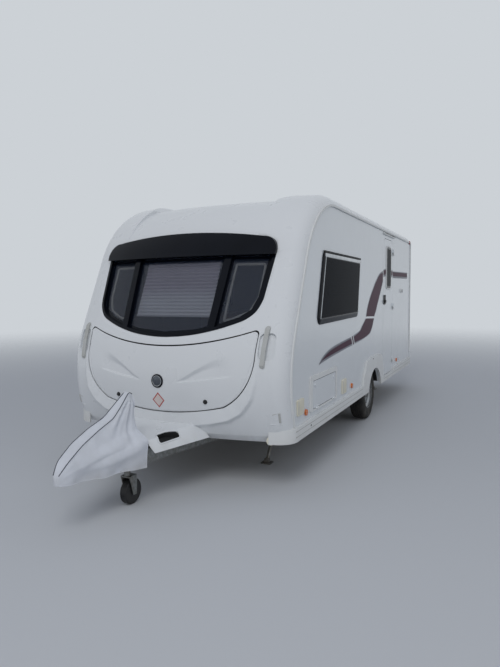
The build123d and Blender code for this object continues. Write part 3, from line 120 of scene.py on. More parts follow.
def make_light():
    """An overcast sky, brightest a little above the horizon, a plain backdrop, and two large soft lamps."""
    world = bpy.data.worlds.new("sky")
    bpy.context.scene.world = world
    world.use_nodes = True
    tree = world.node_tree
    tree.nodes.clear()
    out, light, seen, mix, path, place, split, ramp, shift = [tree.nodes.new("ShaderNode" + kind) for kind in (
        "OutputWorld", "Background", "Background", "MixShader", "LightPath", "TexCoord", "SeparateXYZ",
        "ValToRGB", "MapRange")]
    stops = ramp.color_ramp.elements
    for k in (0, -1):
        stops[k].position, stops[k].color = SKY[k]
    for at, colour in SKY[1:-1]:
        stops.new(at).color = colour
    shift.inputs["From Min"].default_value = -1.0
    light.inputs["Strength"].default_value = SKY_STRENGTH
    seen.inputs["Color"].default_value = srgb(*BACKDROP)
    shown = path.outputs["Is Camera Ray"]
    for other in ("Is Glossy Ray", "Is Transmission Ray"):
        either = tree.nodes.new("ShaderNodeMath")
        either.operation = "MAXIMUM"
        link(tree, (shown, either.inputs[0]), (path.outputs[other], either.inputs[1]))
        shown = either.outputs[0]
    link(tree, (place.outputs["Generated"], split.inputs[0]), (split.outputs["Z"], shift.inputs["Value"]),
         (shift.outputs[0], ramp.inputs[0]), (ramp.outputs[0], light.inputs["Color"]), (shown, mix.inputs[0]),
         (light.outputs[0], mix.inputs[1]), (seen.outputs[0], mix.inputs[2]), (mix.outputs[0], out.inputs[0]))
    for name, spot, aim, size, power in LAMPS:
        lamp = bpy.data.lights.new(name, "AREA")
        lamp.size = size
        lamp.energy = power
        obj = bpy.data.objects.new(name, lamp)
        obj.location = spot
        obj.rotation_euler = (Vector(aim) - Vector(spot)).to_track_quat("-Z", "Y").to_euler()
        obj.visible_glossy = False
        bpy.context.scene.collection.objects.link(obj)


# Floor: half its side, and how far off it starts to fade and is gone
FLOOR_HALF = 60.0
FADE = (4.0, 22.0)


def make_floor():
    """A pale floor that isn't part of the object, and fades into the backdrop."""
    made = Finish("floor_pale", (206, 209, 213), 0.9)
    away = made.node("VectorMath")
    away.operation = "LENGTH"
    fade = made.node("MapRange", From_Min=FADE[0], From_Max=FADE[1])
    fade.interpolation_type = "SMOOTHSTEP"
    clear = made.node("BsdfTransparent")
    mix = made.node("MixShader")
    link(made.tree, (made.place.outputs["Object"], away.inputs[0]),
         (away.outputs["Value"], fade.inputs["Value"]), (fade.outputs[0], mix.inputs[0]),
         (made.shader.outputs[0], mix.inputs[1]), (clear.outputs[0], mix.inputs[2]),
         (mix.outputs[0], made.tree.nodes["Material Output"].inputs["Surface"]))
    mesh = bpy.data.meshes.new("studio_floor")
    h = FLOOR_HALF
    mesh.from_pydata([(-h, -h, 0), (h, -h, 0), (h, h, 0), (-h, h, 0)], [], [(0, 1, 2, 3)])
    mesh.materials.append(made.done())
    obj = bpy.data.objects.new("studio_floor", mesh)
    bpy.context.scene.collection.objects.link(obj)


COAT_ROUGH = 0.06


class Finish:
    """A procedural material, built up in layers over one shader; colours are given as 0 to 255."""

    def __init__(self, name, colour, rough, metal=0.0, coat=0.0, alpha=1.0, gloss=0.5):
        self.mat = bpy.data.materials.new(name)
        self.mat.use_nodes = True
        self.tree = self.mat.node_tree
        self.shader = self.tree.nodes["Principled BSDF"]
        for key, value in (("Metallic", metal), ("Coat Weight", coat), ("Coat Roughness", COAT_ROUGH),
                           ("Alpha", alpha), ("Specular IOR Level", gloss)):
            self.shader.inputs[key].default_value = value
        self.place = self.node("TexCoord")
        self.colour = srgb(*colour)
        self.rough = rough
        self.height = None

    def node(self, kind, **values):
        made = self.tree.nodes.new("ShaderNode" + kind)
        for key, value in values.items():
            made.inputs[key.replace("_", " ")].default_value = value
        return made

    def join(self, given, socket):
        """Links an output to a socket, or sets the socket where a constant is given."""
        if isinstance(given, (int, float, tuple)):
            socket.default_value = given
        else:
            self.tree.links.new(given, socket)

    def math(self, operation, a, b, clamp=False):
        made = self.node("Math")
        made.operation = operation
        made.use_clamp = clamp
        self.join(a, made.inputs[0])
        self.join(b, made.inputs[1])
        return made.outputs[0]

    def blend(self, amount, colour):
        """Mixes another colour over the one so far."""
        made = self.node("Mix")
        made.data_type = "RGBA"
        self.join(amount, made.inputs[0])
        self.join(self.colour, made.inputs[6])
        self.join(srgb(*colour), made.inputs[7])
        self.colour = made.outputs[2]
        return self

    def noise(self, scale, detail=3.0, stretch=(1, 1, 1), low=0.35, high=0.65):
        """A noise from 0 to 1, stretched along the axes."""
        size = self.node("Mapping", Scale=stretch)
        made = self.node("TexNoise", Scale=scale, Detail=detail)
        span = self.node("MapRange", From_Min=low, From_Max=high)
        link(self.tree, (self.place.outputs["Object"], size.inputs["Vector"]),
             (size.outputs[0], made.inputs["Vector"]), (made.outputs["Fac"], span.inputs["Value"]))
        return span.outputs[0]

    def height_share(self, start, end):
        """How far up or down the point is, from 0 at the height start to 1 at the height end."""
        split = self.node("SeparateXYZ")
        span = self.node("MapRange", From_Min=start, From_Max=end)
        span.interpolation_type = "SMOOTHSTEP"
        link(self.tree, (self.place.outputs["Object"], split.inputs[0]),
             (split.outputs["Z"], span.inputs["Value"]))
        return span.outputs[0]

    def vary(self, colour, scale, amount, detail=3.0, stretch=(1, 1, 1)):
        """Uneven colour."""
        return self.blend(self.math("MULTIPLY", self.noise(scale, detail, stretch), amount), colour)

    def grime(self, colour, top, bottom, amount, scale=9.0, stretch=(1, 1, 0.25)):
        """Dirt that gathers towards the bottom."""
        low = self.height_share(top, bottom)
        spots = self.noise(scale, 6.0, stretch, 0.30, 0.75)
        return self.blend(self.math("MULTIPLY", self.math("MULTIPLY", low, spots), amount), colour)

    def uneven(self, amount, scale=14.0):
        """Uneven gloss."""
        spread = self.math("MULTIPLY", self.math("SUBTRACT", self.noise(scale, 4.0), 0.5), amount)
        self.rough = self.math("ADD", self.rough, spread, True)
        return self

    def grain(self, scale, strength, detail=2.0, stretch=(1, 1, 1), distance=0.001):
        """Fine relief."""
        bump = self.node("Bump", Strength=strength, Distance=distance)
        self.join(self.noise(scale, detail, stretch, 0.0, 1.0), bump.inputs["Height"])
        self.height = bump.outputs[0]
        return self

    def done(self):
        """Joins the layers to the shader."""
        self.join(self.colour, self.shader.inputs["Base Color"])
        self.join(self.rough, self.shader.inputs["Roughness"])
        if self.height is not None:
            self.join(self.height, self.shader.inputs["Normal"])
        return self.mat


DUST = (140, 128, 108)
DUST_TOP = 0.54


def white(name, colour, rough, coat=0.35):
    """A white body surface: faint unevenness of colour and gloss, and dust towards the bottom."""
    made = Finish(name, colour, rough, coat=coat).vary((210, 213, 214), 0.9, 0.14, 1.0)
    return made.grime(DUST, DUST_TOP, 0.42, 0.22).uneven(0.06, 6.0)


def lens(name, colour, dark, rough):
    """A ribbed lamp lens."""
    return Finish(name, colour, rough, coat=0.8).vary(dark, 30.0, 0.4).grain(240.0, 0.5)


FINISHES = {
    "moulding": white("moulding_white", (228, 231, 234), 0.30),
    "sheet": white("sheet_white", (224, 229, 233), 0.24, 0.5).grain(2.2, 0.035, 1.0, distance=0.02),
    "roof": white("roof_white", (226, 230, 233), 0.30),
    "trim": Finish("trim_white", (226, 228, 228), 0.42).vary((206, 206, 200), 2.0, 0.14, 1.0).grime(
        DUST, DUST_TOP, 0.40, 0.22, 5.0, (1, 1, 1)).uneven(0.10).grain(420.0, 0.05),
    "gloss_dark": Finish("gloss_dark", (10, 13, 21), 0.16, gloss=0.14).vary(
        (22, 26, 36), 3.0, 0.3).uneven(0.06),
    # Side and rear panes: a real dark tint, made near-black and nearly opaque so that it also stands in for the
    # shade of the cabin behind: partly painted shade
    "glass": Finish("tinted_acrylic_and_painted_shade", (9, 15, 23), 0.08, alpha=0.90, gloss=0.010).vary(
        (18, 23, 32), 1.5, 0.3).uneven(0.04, 3.0),
    "front_glass": Finish("front_acrylic", (44, 52, 70), 0.05, coat=0.30, alpha=0.34, gloss=0.6).vary(
        (60, 70, 88), 1.2, 0.3).uneven(0.03, 3.0),
    "galvanised": Finish("galvanised", (150, 153, 152), 0.48, metal=0.85).vary(
        (112, 114, 112), 38.0, 0.7, 2.0).grime((110, 88, 66), 0.50, 0.10, 0.6).uneven(0.25, 30).grain(
        260.0, 0.15),
    "iron": Finish("painted_iron", (30, 31, 33), 0.55, metal=0.2).vary((70, 54, 42), 16.0, 0.5, 6.0).uneven(
        0.25).grain(300.0, 0.2),
    "tyre": Finish("tyre_rubber", (30, 30, 31), 0.82).vary((74, 70, 62), 9.0, 0.55, 5.0).uneven(0.2).grain(
        600.0, 0.25),
    "alloy": Finish("wheel_silver", (168, 171, 174), 0.34, metal=0.75, coat=0.3).vary(
        (96, 84, 70), 12.0, 0.5, 6.0).uneven(0.2).grain(500.0, 0.06),
    "board": Finish("coated_board", (70, 66, 60), 0.7).vary((44, 40, 36), 6.0, 0.6, 6.0).grain(90.0, 0.2),
    "cloth": Finish("coated_cloth", (224, 228, 236), 0.52).vary((198, 201, 208), 4.0, 0.22, 4.0).vary(
        (150, 150, 142), 11.0, 0.10, 6.0).grime((150, 144, 128), 0.46, 0.30, 0.45, 6.0, (1, 1, 1)).uneven(
        0.12).grain(900.0, 0.25),
    "piping": Finish("dark_piping", (78, 82, 92), 0.6).vary((40, 42, 48), 40.0, 0.4).grain(700.0, 0.2),
    "grey_plastic": Finish("grey_plastic", (192, 194, 192), 0.5).vary((160, 158, 150), 8.0, 0.4).uneven(
        0.2).grain(380.0, 0.15),
    "cream": Finish("aged_plastic", (228, 225, 210), 0.5).vary((206, 198, 172), 6.0, 0.35).grain(380.0, 0.1),
    "black": Finish("black_plastic", (22, 22, 24), 0.5).vary((52, 50, 48), 14.0, 0.4).uneven(0.2).grain(
        420.0, 0.2),
    "amber": lens("amber_lens", (226, 116, 24), (170, 74, 12), 0.16),
    "red": lens("red_lens", (168, 22, 22), (110, 8, 10), 0.16),
    "clear": lens("clear_lens", (214, 218, 222), (160, 166, 172), 0.14),
    "maroon": Finish("maroon_film", (70, 25, 50), 0.45, gloss=0.15).vary((56, 20, 42), 3.0, 0.4),
    "fabric": Finish("seat_fabric", (128, 118, 108), 0.9).vary((96, 88, 80), 9.0, 0.4).grain(700.0, 0.3),
    "oak": Finish("oak_board", (132, 104, 74), 0.5).vary((98, 74, 50), 7.0, 0.6, 5.0, (1, 1, 6)).grain(
        60.0, 0.1, stretch=(1, 1, 8)),
    "silver_film": Finish("silver_film", (128, 130, 138), 0.42, gloss=0.3).vary((108, 110, 120), 4.0, 0.4),
    "chrome": Finish("bright_metal", (196, 198, 200), 0.12, metal=1.0).vary((120, 124, 128), 20.0, 0.3),
    "smoked": Finish("smoked_dome", (92, 98, 106), 0.14, metal=0.5, coat=0.4).vary((60, 64, 72), 18.0, 0.5),
    "seal": Finish("rubber_seal", (24, 25, 27), 0.7).vary((58, 58, 56), 20.0, 0.4).grain(500.0, 0.2),
    "sign_white": Finish("sign_white", (226, 214, 210), 0.4).vary((204, 190, 186), 20.0, 0.4),
    "sign_red": Finish("sign_red", (176, 58, 52), 0.4).vary((200, 96, 88), 20.0, 0.4),
}
# The blind is paler towards the bottom and darker at the top: painted light and shade, for the light that falls
# more on its lower part
blind = FINISHES["blind"] = Finish("pleated_blind", (232, 236, 246), 0.8)
blind.blend(blind.height_share(1.56, 1.72), (204, 200, 216)).vary((190, 192, 202), 12.0, 0.15).grain(800.0, 0.2)
FINISH = {name: made.done() for name, made in FINISHES.items()}

# Finish of each node that shows
DRESS = {
    "moulding": ("front_panel", "rear_panel", "locker_lid", "rear_bumper", "drawbar_fairing", "rooflights"),
    "sheet": ("side_wall_door", "side_wall_far", "entrance_door", "side_locker_door"),
    "roof": ("roof_panel",),
    "trim": ("skirt_door_side", "skirt_far_side", "awning_rails", "door_hinges", "side_locker_frame",
             "far_hatches", "side_fittings"),
    "oak": ("seat_bases", "front_chest", "kitchen_unit"),
    "fabric": ("seat_cushions",),
    "gloss_dark": ("front_window_surround",),
    "front_glass": ("front_window_centre", "front_window_door_side", "front_window_far_side"),
    "glass": ("side_window_door", "side_windows_far", "rear_window", "door_window"),
    "galvanised": ("chassis_frame", "axle", "steady_brackets", "steady_front_door_side",
                   "steady_front_far_side", "steady_rear_door_side", "steady_rear_far_side", "jockey_clamp",
                   "jockey_tube", "jockey_fork", "lid_hinges"),
    "iron": ("coupling_head", "overrun_housing", "handbrake_lever", "swing_arms"),
    "tyre": ("tyre_door_side", "tyre_far_side"),
    "alloy": ("rim_door_side", "rim_far_side"),
    "board": ("floor", "front_locker_box"),
    "grey_plastic": ("grab_handles",),
    "black": ("door_handle", "wheel_boxes", "jockey_wheel"),
    "amber": ("side_lamps",),
    "red": ("rear_lamps",),
    "cloth": ("hitch_cover",),
}


def dress_nodes():
    """Gives each carried-over node its finish."""
    for finish, names in DRESS.items():
        for name in names:
            obj = nodes[name]
            if not obj.material_slots:
                obj.data.materials.append(FINISH[finish])
            for place in obj.material_slots:
                place.material = FINISH[finish]


def add(name, verts, faces, finish, body=MAIN, smooth=True, angle=35.0):
    """A mesh piece that rides on a body."""
    mesh = bpy.data.meshes.new(name)
    mesh.from_pydata([tuple(v) for v in verts], [], faces)
    mesh.validate()
    return add_mesh(name, mesh, finish, body, smooth, angle)


def add_mesh(name, mesh, finish, body=MAIN, smooth=True, angle=35.0):
    """A finished mesh as a piece that rides on a body."""
    mesh.materials.clear()
    mesh.materials.append(FINISH[finish])
    if smooth:
        mesh.shade_smooth()
        mesh.set_sharp_from_angle(angle=radians(angle))
    obj = bpy.data.objects.new(name, mesh)
    bpy.context.scene.collection.objects.link(obj)
    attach(obj, body)
    return obj


def bands(rows, wide, around=True, ends=False):
    """Faces between rows of points; each row closed or open, the last row joined to the first or not."""
    return [(k * wide + j, k * wide + (j + 1) % wide,
             (k + 1) % rows * wide + (j + 1) % wide, (k + 1) % rows * wide + j)
            for k in range(rows if ends else rows - 1) for j in range(wide if around else wide - 1)]


def between(a, b, t):
    """The point at a share t of the way from a to b."""
    return tuple(p + (q - p) * t for p, q in zip(a, b))


def along_line(points, count):
    """Evenly spaced points on a line of pairs."""
    pts = np.array(points)
    run = np.concatenate([[0], np.cumsum(np.hypot(*np.diff(pts, axis=0).T))])
    at = np.linspace(0, run[-1], count)
    return list(zip(np.interp(at, run, pts[:, 0]), np.interp(at, run, pts[:, 1])))


def length_of(points):
    """Length of a line through points."""
    line = [Vector(p) for p in points]
    return sum((b - a).length for a, b in zip(line, line[1:]))


# The flat faces that plates lie on: first axis, second axis, outward axis, sign of outward
FACES = {"right": (1, 2, 0, 1), "left": (1, 2, 0, -1), "back": (0, 2, 1, 1)}
SIDES = ((1, "near", "right"), (-1, "far", "left"))


def on_face(face, u, v, w):
    """A point given along a face and outward from it, as x, y, z."""
    a, b, c, sign = FACES[face]
    point = [0.0, 0.0, 0.0]
    point[a] = u
    point[b] = v
    point[c] = sign * w
    return point


# Steps round a corner, and round the quarter of a plate's rounded edge
CORNER_STEPS = 6
EDGE_STEPS = 3


def round_rect(cu, cv, hu, hv, r):
    """A rectangle with rounded corners, as points."""
    r = max(min(r, hu, hv), 0.0002)
    out = []
    for k, (su, sv) in enumerate(((1, 1), (-1, 1), (-1, -1), (1, -1))):
        for j in range(CORNER_STEPS + 1):
            t = (k + j / CORNER_STEPS) * pi / 2
            out.append((cu + su * (hu - r) + r * cos(t), cv + sv * (hv - r) + r * sin(t)))
    return out


def pad(name, face, centre, half, radius, base, thick, finish, bevel=0.003):
    """A plate with rounded corners and edges on a flat face."""
    rings = [(0.0, base), (0.0, base + thick - bevel)]
    for j in range(1, EDGE_STEPS + 1):
        t = j / EDGE_STEPS * pi / 2
        rings.append((bevel * (1 - cos(t)), base + thick - bevel + bevel * sin(t)))
    verts = [on_face(face, u, v, w) for inset, w in rings
             for u, v in round_rect(*centre, half[0] - inset, half[1] - inset, radius - inset)]
    n = len(verts) // len(rings)
    faces = bands(len(rings), n) + [tuple(range(len(verts) - n, len(verts)))]
    if face != "right":
        faces = [f[::-1] for f in faces]
    add(name, verts, faces, finish)


def tube(name, points, radius, finish):
    """A round bar along a smooth line."""
    curve = bpy.data.curves.new(name, "CURVE")
    curve.dimensions = "3D"
    spline = curve.splines.new("NURBS")
    spline.points.add(len(points) - 1)
    for place, p in zip(spline.points, points):
        place.co = (*p, 1.0)
    spline.order_u = 3
    spline.use_endpoint_u = True
    curve.resolution_u = 8
    curve.bevel_depth = radius
    curve.bevel_resolution = 2
    curve.use_fill_caps = True
    holder = bpy.data.objects.new(name + "_line", curve)
    bpy.context.scene.collection.objects.link(holder)
    mesh = bpy.data.meshes.new_from_object(holder.evaluated_get(bpy.context.evaluated_depsgraph_get()))
    bpy.data.objects.remove(holder)
    bpy.data.curves.remove(curve)
    return add_mesh(name, mesh, finish)


def outward(mesh):
    """Turns a mesh's faces to point outwards."""
    bm = bmesh.new()
    bm.from_mesh(mesh)
    bmesh.ops.recalc_face_normals(bm, faces=bm.faces)
    bm.to_mesh(mesh)
    bm.free()


def turned(name, centre, axis, profile, finish, body=MAIN, steps=48):
    """A turned piece: profile is (distance along the axis, radius)."""
    forward = Vector(axis).normalized()
    across = forward.orthogonal().normalized()
    other = forward.cross(across)
    verts = []
    for d, r in profile:
        for k in range(steps):
            t = 2 * pi * k / steps
            verts.append(Vector(centre) + forward * d + (across * cos(t) + other * sin(t)) * r)
    ends = [tuple(reversed(range(steps))), tuple(range(len(verts) - steps, len(verts)))]
    add(name, verts, bands(len(profile), steps) + ends, finish, body)


def smooth_step(t):
    """0 to 1, level at both ends."""
    t = np.clip(t, 0.0, 1.0)
    return t * t * (3 - 2 * t)


def depth_at(z):
    """How far the centre line of the front lies behind the nose at a height."""
    lip_z = NOSE_Z + NOSE_R * sin(LEAN)
    if z <= lip_z:
        return NOSE_R - sqrt(NOSE_R ** 2 - (z - NOSE_Z) ** 2)
    lip = NOSE_R * (1 - cos(LEAN))
    if z <= BROW_Z:
        return lip + (z - lip_z) * sin(LEAN) / cos(LEAN)
    brow = lip + (BROW_Z - lip_z) * sin(LEAN) / cos(LEAN)
    big = (ROOF - BROW_Z) / (1 - sin(LEAN))
    middle = brow + big * cos(LEAN)
    rise = z - (BROW_Z - big * sin(LEAN))
    return middle - sqrt(max(big ** 2 - rise ** 2, 0.0))


def front_y(x, z):
    """The bowed front's surface."""
    r = BOW_R - depth_at(z)
    return NOSE + BOW_R - sqrt(r * r - x * x)


def front_out(x, z):
    """The outward direction of the bowed front."""
    step = 0.002
    fx = (front_y(x + step, z) - front_y(x - step, z)) / (2 * step)
    fz = (front_y(x, z + step) - front_y(x, z - step)) / (2 * step)
    return Vector((fx, -1.0, fz)).normalized()


def front_point(x, z, lift=0.0):
    """A point on the front, lifted off it."""
    return Vector((x, front_y(x, z), z)) + front_out(x, z) * lift


# Outlines on the front: x and z of the +X half, from the middle of the top down to the middle of the bottom
LID_HALF_OUTLINE = [(0, 1.190), (0.30, 1.208), (0.47, 1.236), (0.66, 1.277), (0.80, 1.318), (0.855, 1.285),
                    (0.848, 1.18), (0.835, 1.09), (0.80, 0.955), (0.75, 0.85), (0.67, 0.755), (0.59, 0.708),
                    (0.44, 0.672), (0.29, 0.653), (0, 0.640)]
GLAZING_HALF_OUTLINE = [(0, 2.172), (0.40, 2.157), (0.76, 2.118), (0.862, 2.072), (0.884, 1.96), (0.866, 1.78),
                        (0.848, 1.60), (0.80, 1.478), (0.69, 1.40), (0.53, 1.345), (0.30, 1.292), (0, 1.268)]
OUTLINE_STEP = 0.006


def closed(half):
    """A symmetric outline from its +X half, with points every few millimetres."""
    ring = half + [(-x, z) for x, z in reversed(half) if x > 0]
    out = []
    for a, b in zip(ring, ring[1:] + ring[:1]):
        steps = max(1, int(hypot(b[0] - a[0], b[1] - a[1]) / OUTLINE_STEP))
        out += [between(a, b, k / steps) for k in range(steps)]
    return np.array(out)


LID_RING = closed(LID_HALF_OUTLINE)
GLAZING_RING = closed(GLAZING_HALF_OUTLINE)


def gap_to(ring, xz):
    """Distance from each point to an outline."""
    out = np.empty(len(xz))
    for k in range(0, len(xz), 2000):
        part = xz[k:k + 2000]
        out[k:k + 2000] = np.sqrt(((part[:, None, :] - ring[None, :, :]) ** 2).sum(2)).min(1)
    return out


# Relief of the front moulding: the raised band round the lid's lower part, and the sunk lip round the glazing
BAND_RISE = 0.036
BAND_WIDE = 0.098
BAND_BACK = 0.036
BAND_TOP = 1.15
BAND_OUT = 0.11
LIP_DEEP = 0.010
LIP_WIDE = 0.030
# Rounded rim along the lid and the panel's edge there
RIM_DEEP = 0.0035
RIM_WIDE = 0.010


def panel_relief(xz):
    """Height of the front moulding over the plain bowed surface."""
    x = np.abs(xz[:, 0])
    z = xz[:, 1]
    d = gap_to(LID_RING, xz)
    wide = BAND_WIDE - 0.050 * smooth_step((z - 0.70) / 0.35)
    strength = (1 - smooth_step((z - 0.78) / 0.40)) * (1 - smooth_step((x - 0.80) / 0.15))
    ramp = np.clip(d / wide, 0.0, 1.0) ** 1.15
    past = np.clip((d - wide) / BAND_BACK, 0.0, None)
    high = BAND_RISE * strength * (ramp - 0.70 * smooth_step(past) - 0.30 * smooth_step((past - 1.0) / 5.0))
    high = high - RIM_DEEP * (1 - smooth_step(d / RIM_WIDE))
    g = gap_to(GLAZING_RING, xz)
    return high - LIP_DEEP * (1 - smooth_step(g / LIP_WIDE)) ** 2


# The lid's wedges: depth, and their lower and upper edges
WEDGE_DEEP = 0.019
WEDGE_LOW_AT = ([0.165, 0.41, 0.677], [0.893, 0.922, 0.965])
WEDGE_LOW = np.polyfit(*WEDGE_LOW_AT, 2)
WEDGE_HIGH = np.polyfit([0.165, 0.245, 0.40, 0.543, 0.70], [0.899, 0.940, 1.036, 1.112, 1.170], 3)


def lid_relief(xz):
    """The lid's two shallow wedges, each with a soft upper edge and a crisp lower one, and its rounded rim."""
    x = np.abs(xz[:, 0])
    z = xz[:, 1]
    low = np.polyval(WEDGE_LOW, x)
    high = np.polyval(WEDGE_HIGH, x)
    soft = 0.036 + 0.9 * np.clip(x - 0.30, 0.0, 0.4) ** 2
    inside = smooth_step((high - z) / soft) * smooth_step((z - low) / 0.012)
    ends = smooth_step((x - 0.14) / 0.07) * (1 - smooth_step((x - 0.52) / 0.18))
    d = gap_to(LID_RING, xz)
    return -WEDGE_DEEP * inside * ends - RIM_DEEP * (1 - smooth_step(d / RIM_WIDE))


def fine_near(rings, fine, coarse, reach):
    """How long an edge may be: short near the outlines."""
    joined = np.concatenate(rings)

    def limit(xz):
        return fine + (coarse - fine) * np.clip(gap_to(joined, xz) / reach, 0, 1)
    return limit


# Where the bowed front is plain: up to x, and between two heights; and how near it a point counts as on it
FRONT_X = 0.955
FRONT_Z = (0.425, 2.34)
ON_FRONT = 0.0012
FRONT_GRID = np.linspace(FRONT_Z[0] - 0.01, FRONT_Z[1] + 0.01, 600)
FRONT_DEPTH = np.array([depth_at(z) for z in FRONT_GRID])


def front_ys(points):
    """The bowed front's y at many points."""
    r = BOW_R - np.interp(points[:, 2], FRONT_GRID, FRONT_DEPTH)
    return NOSE + BOW_R - np.sqrt(r * r - points[:, 0] ** 2)


def on_front(points):
    """Which points lie on the bowed front's outside."""
    near = (np.abs(points[:, 0]) < FRONT_X) & (points[:, 2] > FRONT_Z[0]) & (points[:, 2] < FRONT_Z[1])
    return near & (np.abs(points[:, 1] - front_ys(points)) < ON_FRONT)


def split_long(points, tris, limit):
    """One round of cutting the triangles' long edges on the front in half; None when there are none."""
    sides = np.sort(np.stack([tris[:, [0, 1]], tris[:, [1, 2]], tris[:, [2, 0]]], 1).reshape(-1, 2), axis=1)
    edges, back = np.unique(sides, axis=0, return_inverse=True)
    both = on_front(points)[edges].all(1)
    middle = points[edges].mean(1)
    long = np.zeros(len(edges), bool)
    length = np.linalg.norm(points[edges[:, 0]] - points[edges[:, 1]], axis=1)
    long[both] = length[both] > limit(middle[both][:, [0, 2]])
    if not long.any():
        return None
    fresh = middle[long]
    ends = points[edges[long]]
    off = (ends[:, :, 1] - np.stack([front_ys(ends[:, 0]), front_ys(ends[:, 1])], 1)).mean(1)
    fresh[:, 1] = front_ys(fresh) + off
    number = np.full(len(edges), -1)
    number[long] = len(points) + np.arange(long.sum())
    mark = number[back.reshape(-1)].reshape(-1, 3)
    out = [tris[(mark < 0).all(1)]]
    for turn in range(3):
        t = np.roll(tris, -turn, axis=1)
        m = np.roll(mark, -turn, axis=1)
        one = (m[:, 0] >= 0) & (m[:, 1] < 0) & (m[:, 2] < 0)
        a, b, c = t[one].T
        n = m[one][:, 0]
        out += [np.stack([a, n, c], 1), np.stack([n, b, c], 1)]
        two = (m[:, 0] >= 0) & (m[:, 1] >= 0) & (m[:, 2] < 0)
        a, b, c = t[two].T
        n, q = m[two][:, 0], m[two][:, 1]
        out += [np.stack([n, b, q], 1), np.stack([a, n, q], 1), np.stack([a, q, c], 1)]
    three = (mark >= 0).all(1)
    a, b, c = tris[three].T
    n, q, w = mark[three].T
    out += [np.stack([a, n, w], 1), np.stack([n, b, q], 1), np.stack([w, q, c], 1), np.stack([n, q, w], 1)]
    return np.concatenate([points, fresh]), np.concatenate(out)


def plain_outs(points):
    """The bowed front's outward direction at many points."""
    step = 0.004
    fx, fz = [(front_ys(points + d) - front_ys(points - d)) / (2 * step)
              for d in (np.array([step, 0, 0]), np.array([0, 0, step]))]
    out = np.stack([fx, -np.ones(len(points)), fz], 1)
    return out / np.linalg.norm(out, axis=1, keepdims=True)


def lifted(points, relief):
    """Points of the bowed front, lifted or sunk by a relief."""
    flat = points.copy()
    flat[:, 1] = front_ys(points)
    return flat + plain_outs(flat) * relief(flat[:, [0, 2]])[:, None]


def lifted_normals(points, relief):
    """The lifted surface's outward direction at many points."""
    reach = 0.0015
    along = [lifted(points + d, relief) - lifted(points - d, relief)
             for d in (np.array([reach, 0, 0]), np.array([0, 0, reach]))]
    out = np.cross(along[0], along[1])
    return out / np.linalg.norm(out, axis=1, keepdims=True)


def moulded(name, node, relief, limit, body, finish):
    """A node's surface cut finer where it lies on the bowed front, and lifted or sunk by its relief."""
    bm = bmesh.new()
    bm.from_mesh(nodes[node].data)
    bmesh.ops.remove_doubles(bm, verts=bm.verts, dist=0.00002)
    bmesh.ops.triangulate(bm, faces=bm.faces)
    bm.verts.index_update()
    points = np.array([v.co[:] for v in bm.verts])
    tris = np.array([[v.index for v in f.verts] for f in bm.faces])
    bm.free()
    near = np.nonzero(on_front(points))[0]
    off = points[near, 1] - front_ys(points[near])
    points[near, 1] -= off * (1 - smooth_step((np.abs(off) - 0.0005) / 0.0006))
    for _ in range(14):
        made = split_long(points, tris, limit)
        if made is None:
            break
        points, tris = made
    on = on_front(points)
    flat = points[on]
    outs = np.zeros_like(points)
    outs[on] = lifted_normals(flat, relief)
    points[on] += plain_outs(flat) * relief(flat[:, [0, 2]])[:, None]
    obj = add(name, points.tolist(), tris.tolist(), finish, body, angle=38.0)
    corners = np.empty(len(obj.data.loops), dtype=int)
    obj.data.loops.foreach_get("vertex_index", corners)
    corners = corners.reshape(-1, 3)
    a, b, c = (points[corners[:, k]] for k in range(3))
    faced = np.cross(b - a, c - a)
    faced /= np.maximum(np.linalg.norm(faced, axis=1, keepdims=True), 1e-12)
    shaded = outs[corners]
    wanted = on[corners].all(1) & (np.einsum("ij,ikj->ik", faced, shaded).min(1) > 0.5)
    shaded[~wanted] = 0.0
    obj.data.normals_split_custom_set(shaded.reshape(-1, 3).tolist())
    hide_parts(node)


def make_front():
    """The front moulding and the locker lid with their moulded relief."""
    band = []
    for x, z in LID_RING[::3]:
        if z < BAND_TOP:
            out = Vector((x, 0, z - 1.0)).normalized()
            band.append((x + out.x * BAND_OUT, z + out.z * BAND_OUT))
    moulded("front_moulding", "front_panel", panel_relief,
            fine_near([LID_RING, GLAZING_RING, np.array(band)], 0.010, 0.045, 0.09), MAIN, "moulding")
    run = np.linspace(0.16, 0.70, 60)
    lower = np.interp(run, *WEDGE_LOW_AT) + 0.006
    upper = np.interp(run, [0.16, 0.245, 0.40, 0.543], [0.90, 0.94, 1.04, 1.112]) - 0.02
    wedge = np.array([(side * x, z) for side in (-1, 1) for line in (lower, upper) for x, z in zip(run, line)])
    moulded("front_lid", "locker_lid", lid_relief, fine_near([LID_RING, wedge], 0.007, 0.036, 0.07),
            "front_lid", "moulding")


# Badge, locks and sign on the lid: heights of their middles, x of a lock, half of the sign's diagonals
BADGE_Z = 0.900
LOCK_X = 0.444
LOCK_Z = 0.749
SIGN_Z = 0.735
SIGN_HALF = (0.060, 0.067)
# Round pieces: name, finish of the badge's, and the profile as distance off the front and radius
BADGE = [
    ("badge_rim", "gloss_dark",
     [(-0.004, 0.058), (0.005, 0.058), (0.008, 0.055), (0.008, 0.047), (0.004, 0.046)]),
    ("badge_ring", "chrome",
     [(0.0, 0.047), (0.0088, 0.046), (0.0100, 0.044), (0.0088, 0.041), (0.004, 0.040)]),
    ("badge_disc", "smoked",
     [(0.0, 0.041), (0.0060, 0.041), (0.0085, 0.032), (0.0100, 0.016), (0.0105, 0.002)]),
]
LOCK = [("lock_rose", [(-0.003, 0.019), (0.003, 0.019), (0.005, 0.017)]),
        ("lock_knob", [(0.003, 0.013), (0.013, 0.012), (0.016, 0.010), (0.0165, 0.002)])]


def front_disc(name, x, z, profile, finish):
    """A small round piece that stands on the lid."""
    turned(name, front_point(x, z), front_out(x, z), profile, finish, "front_lid", 40)


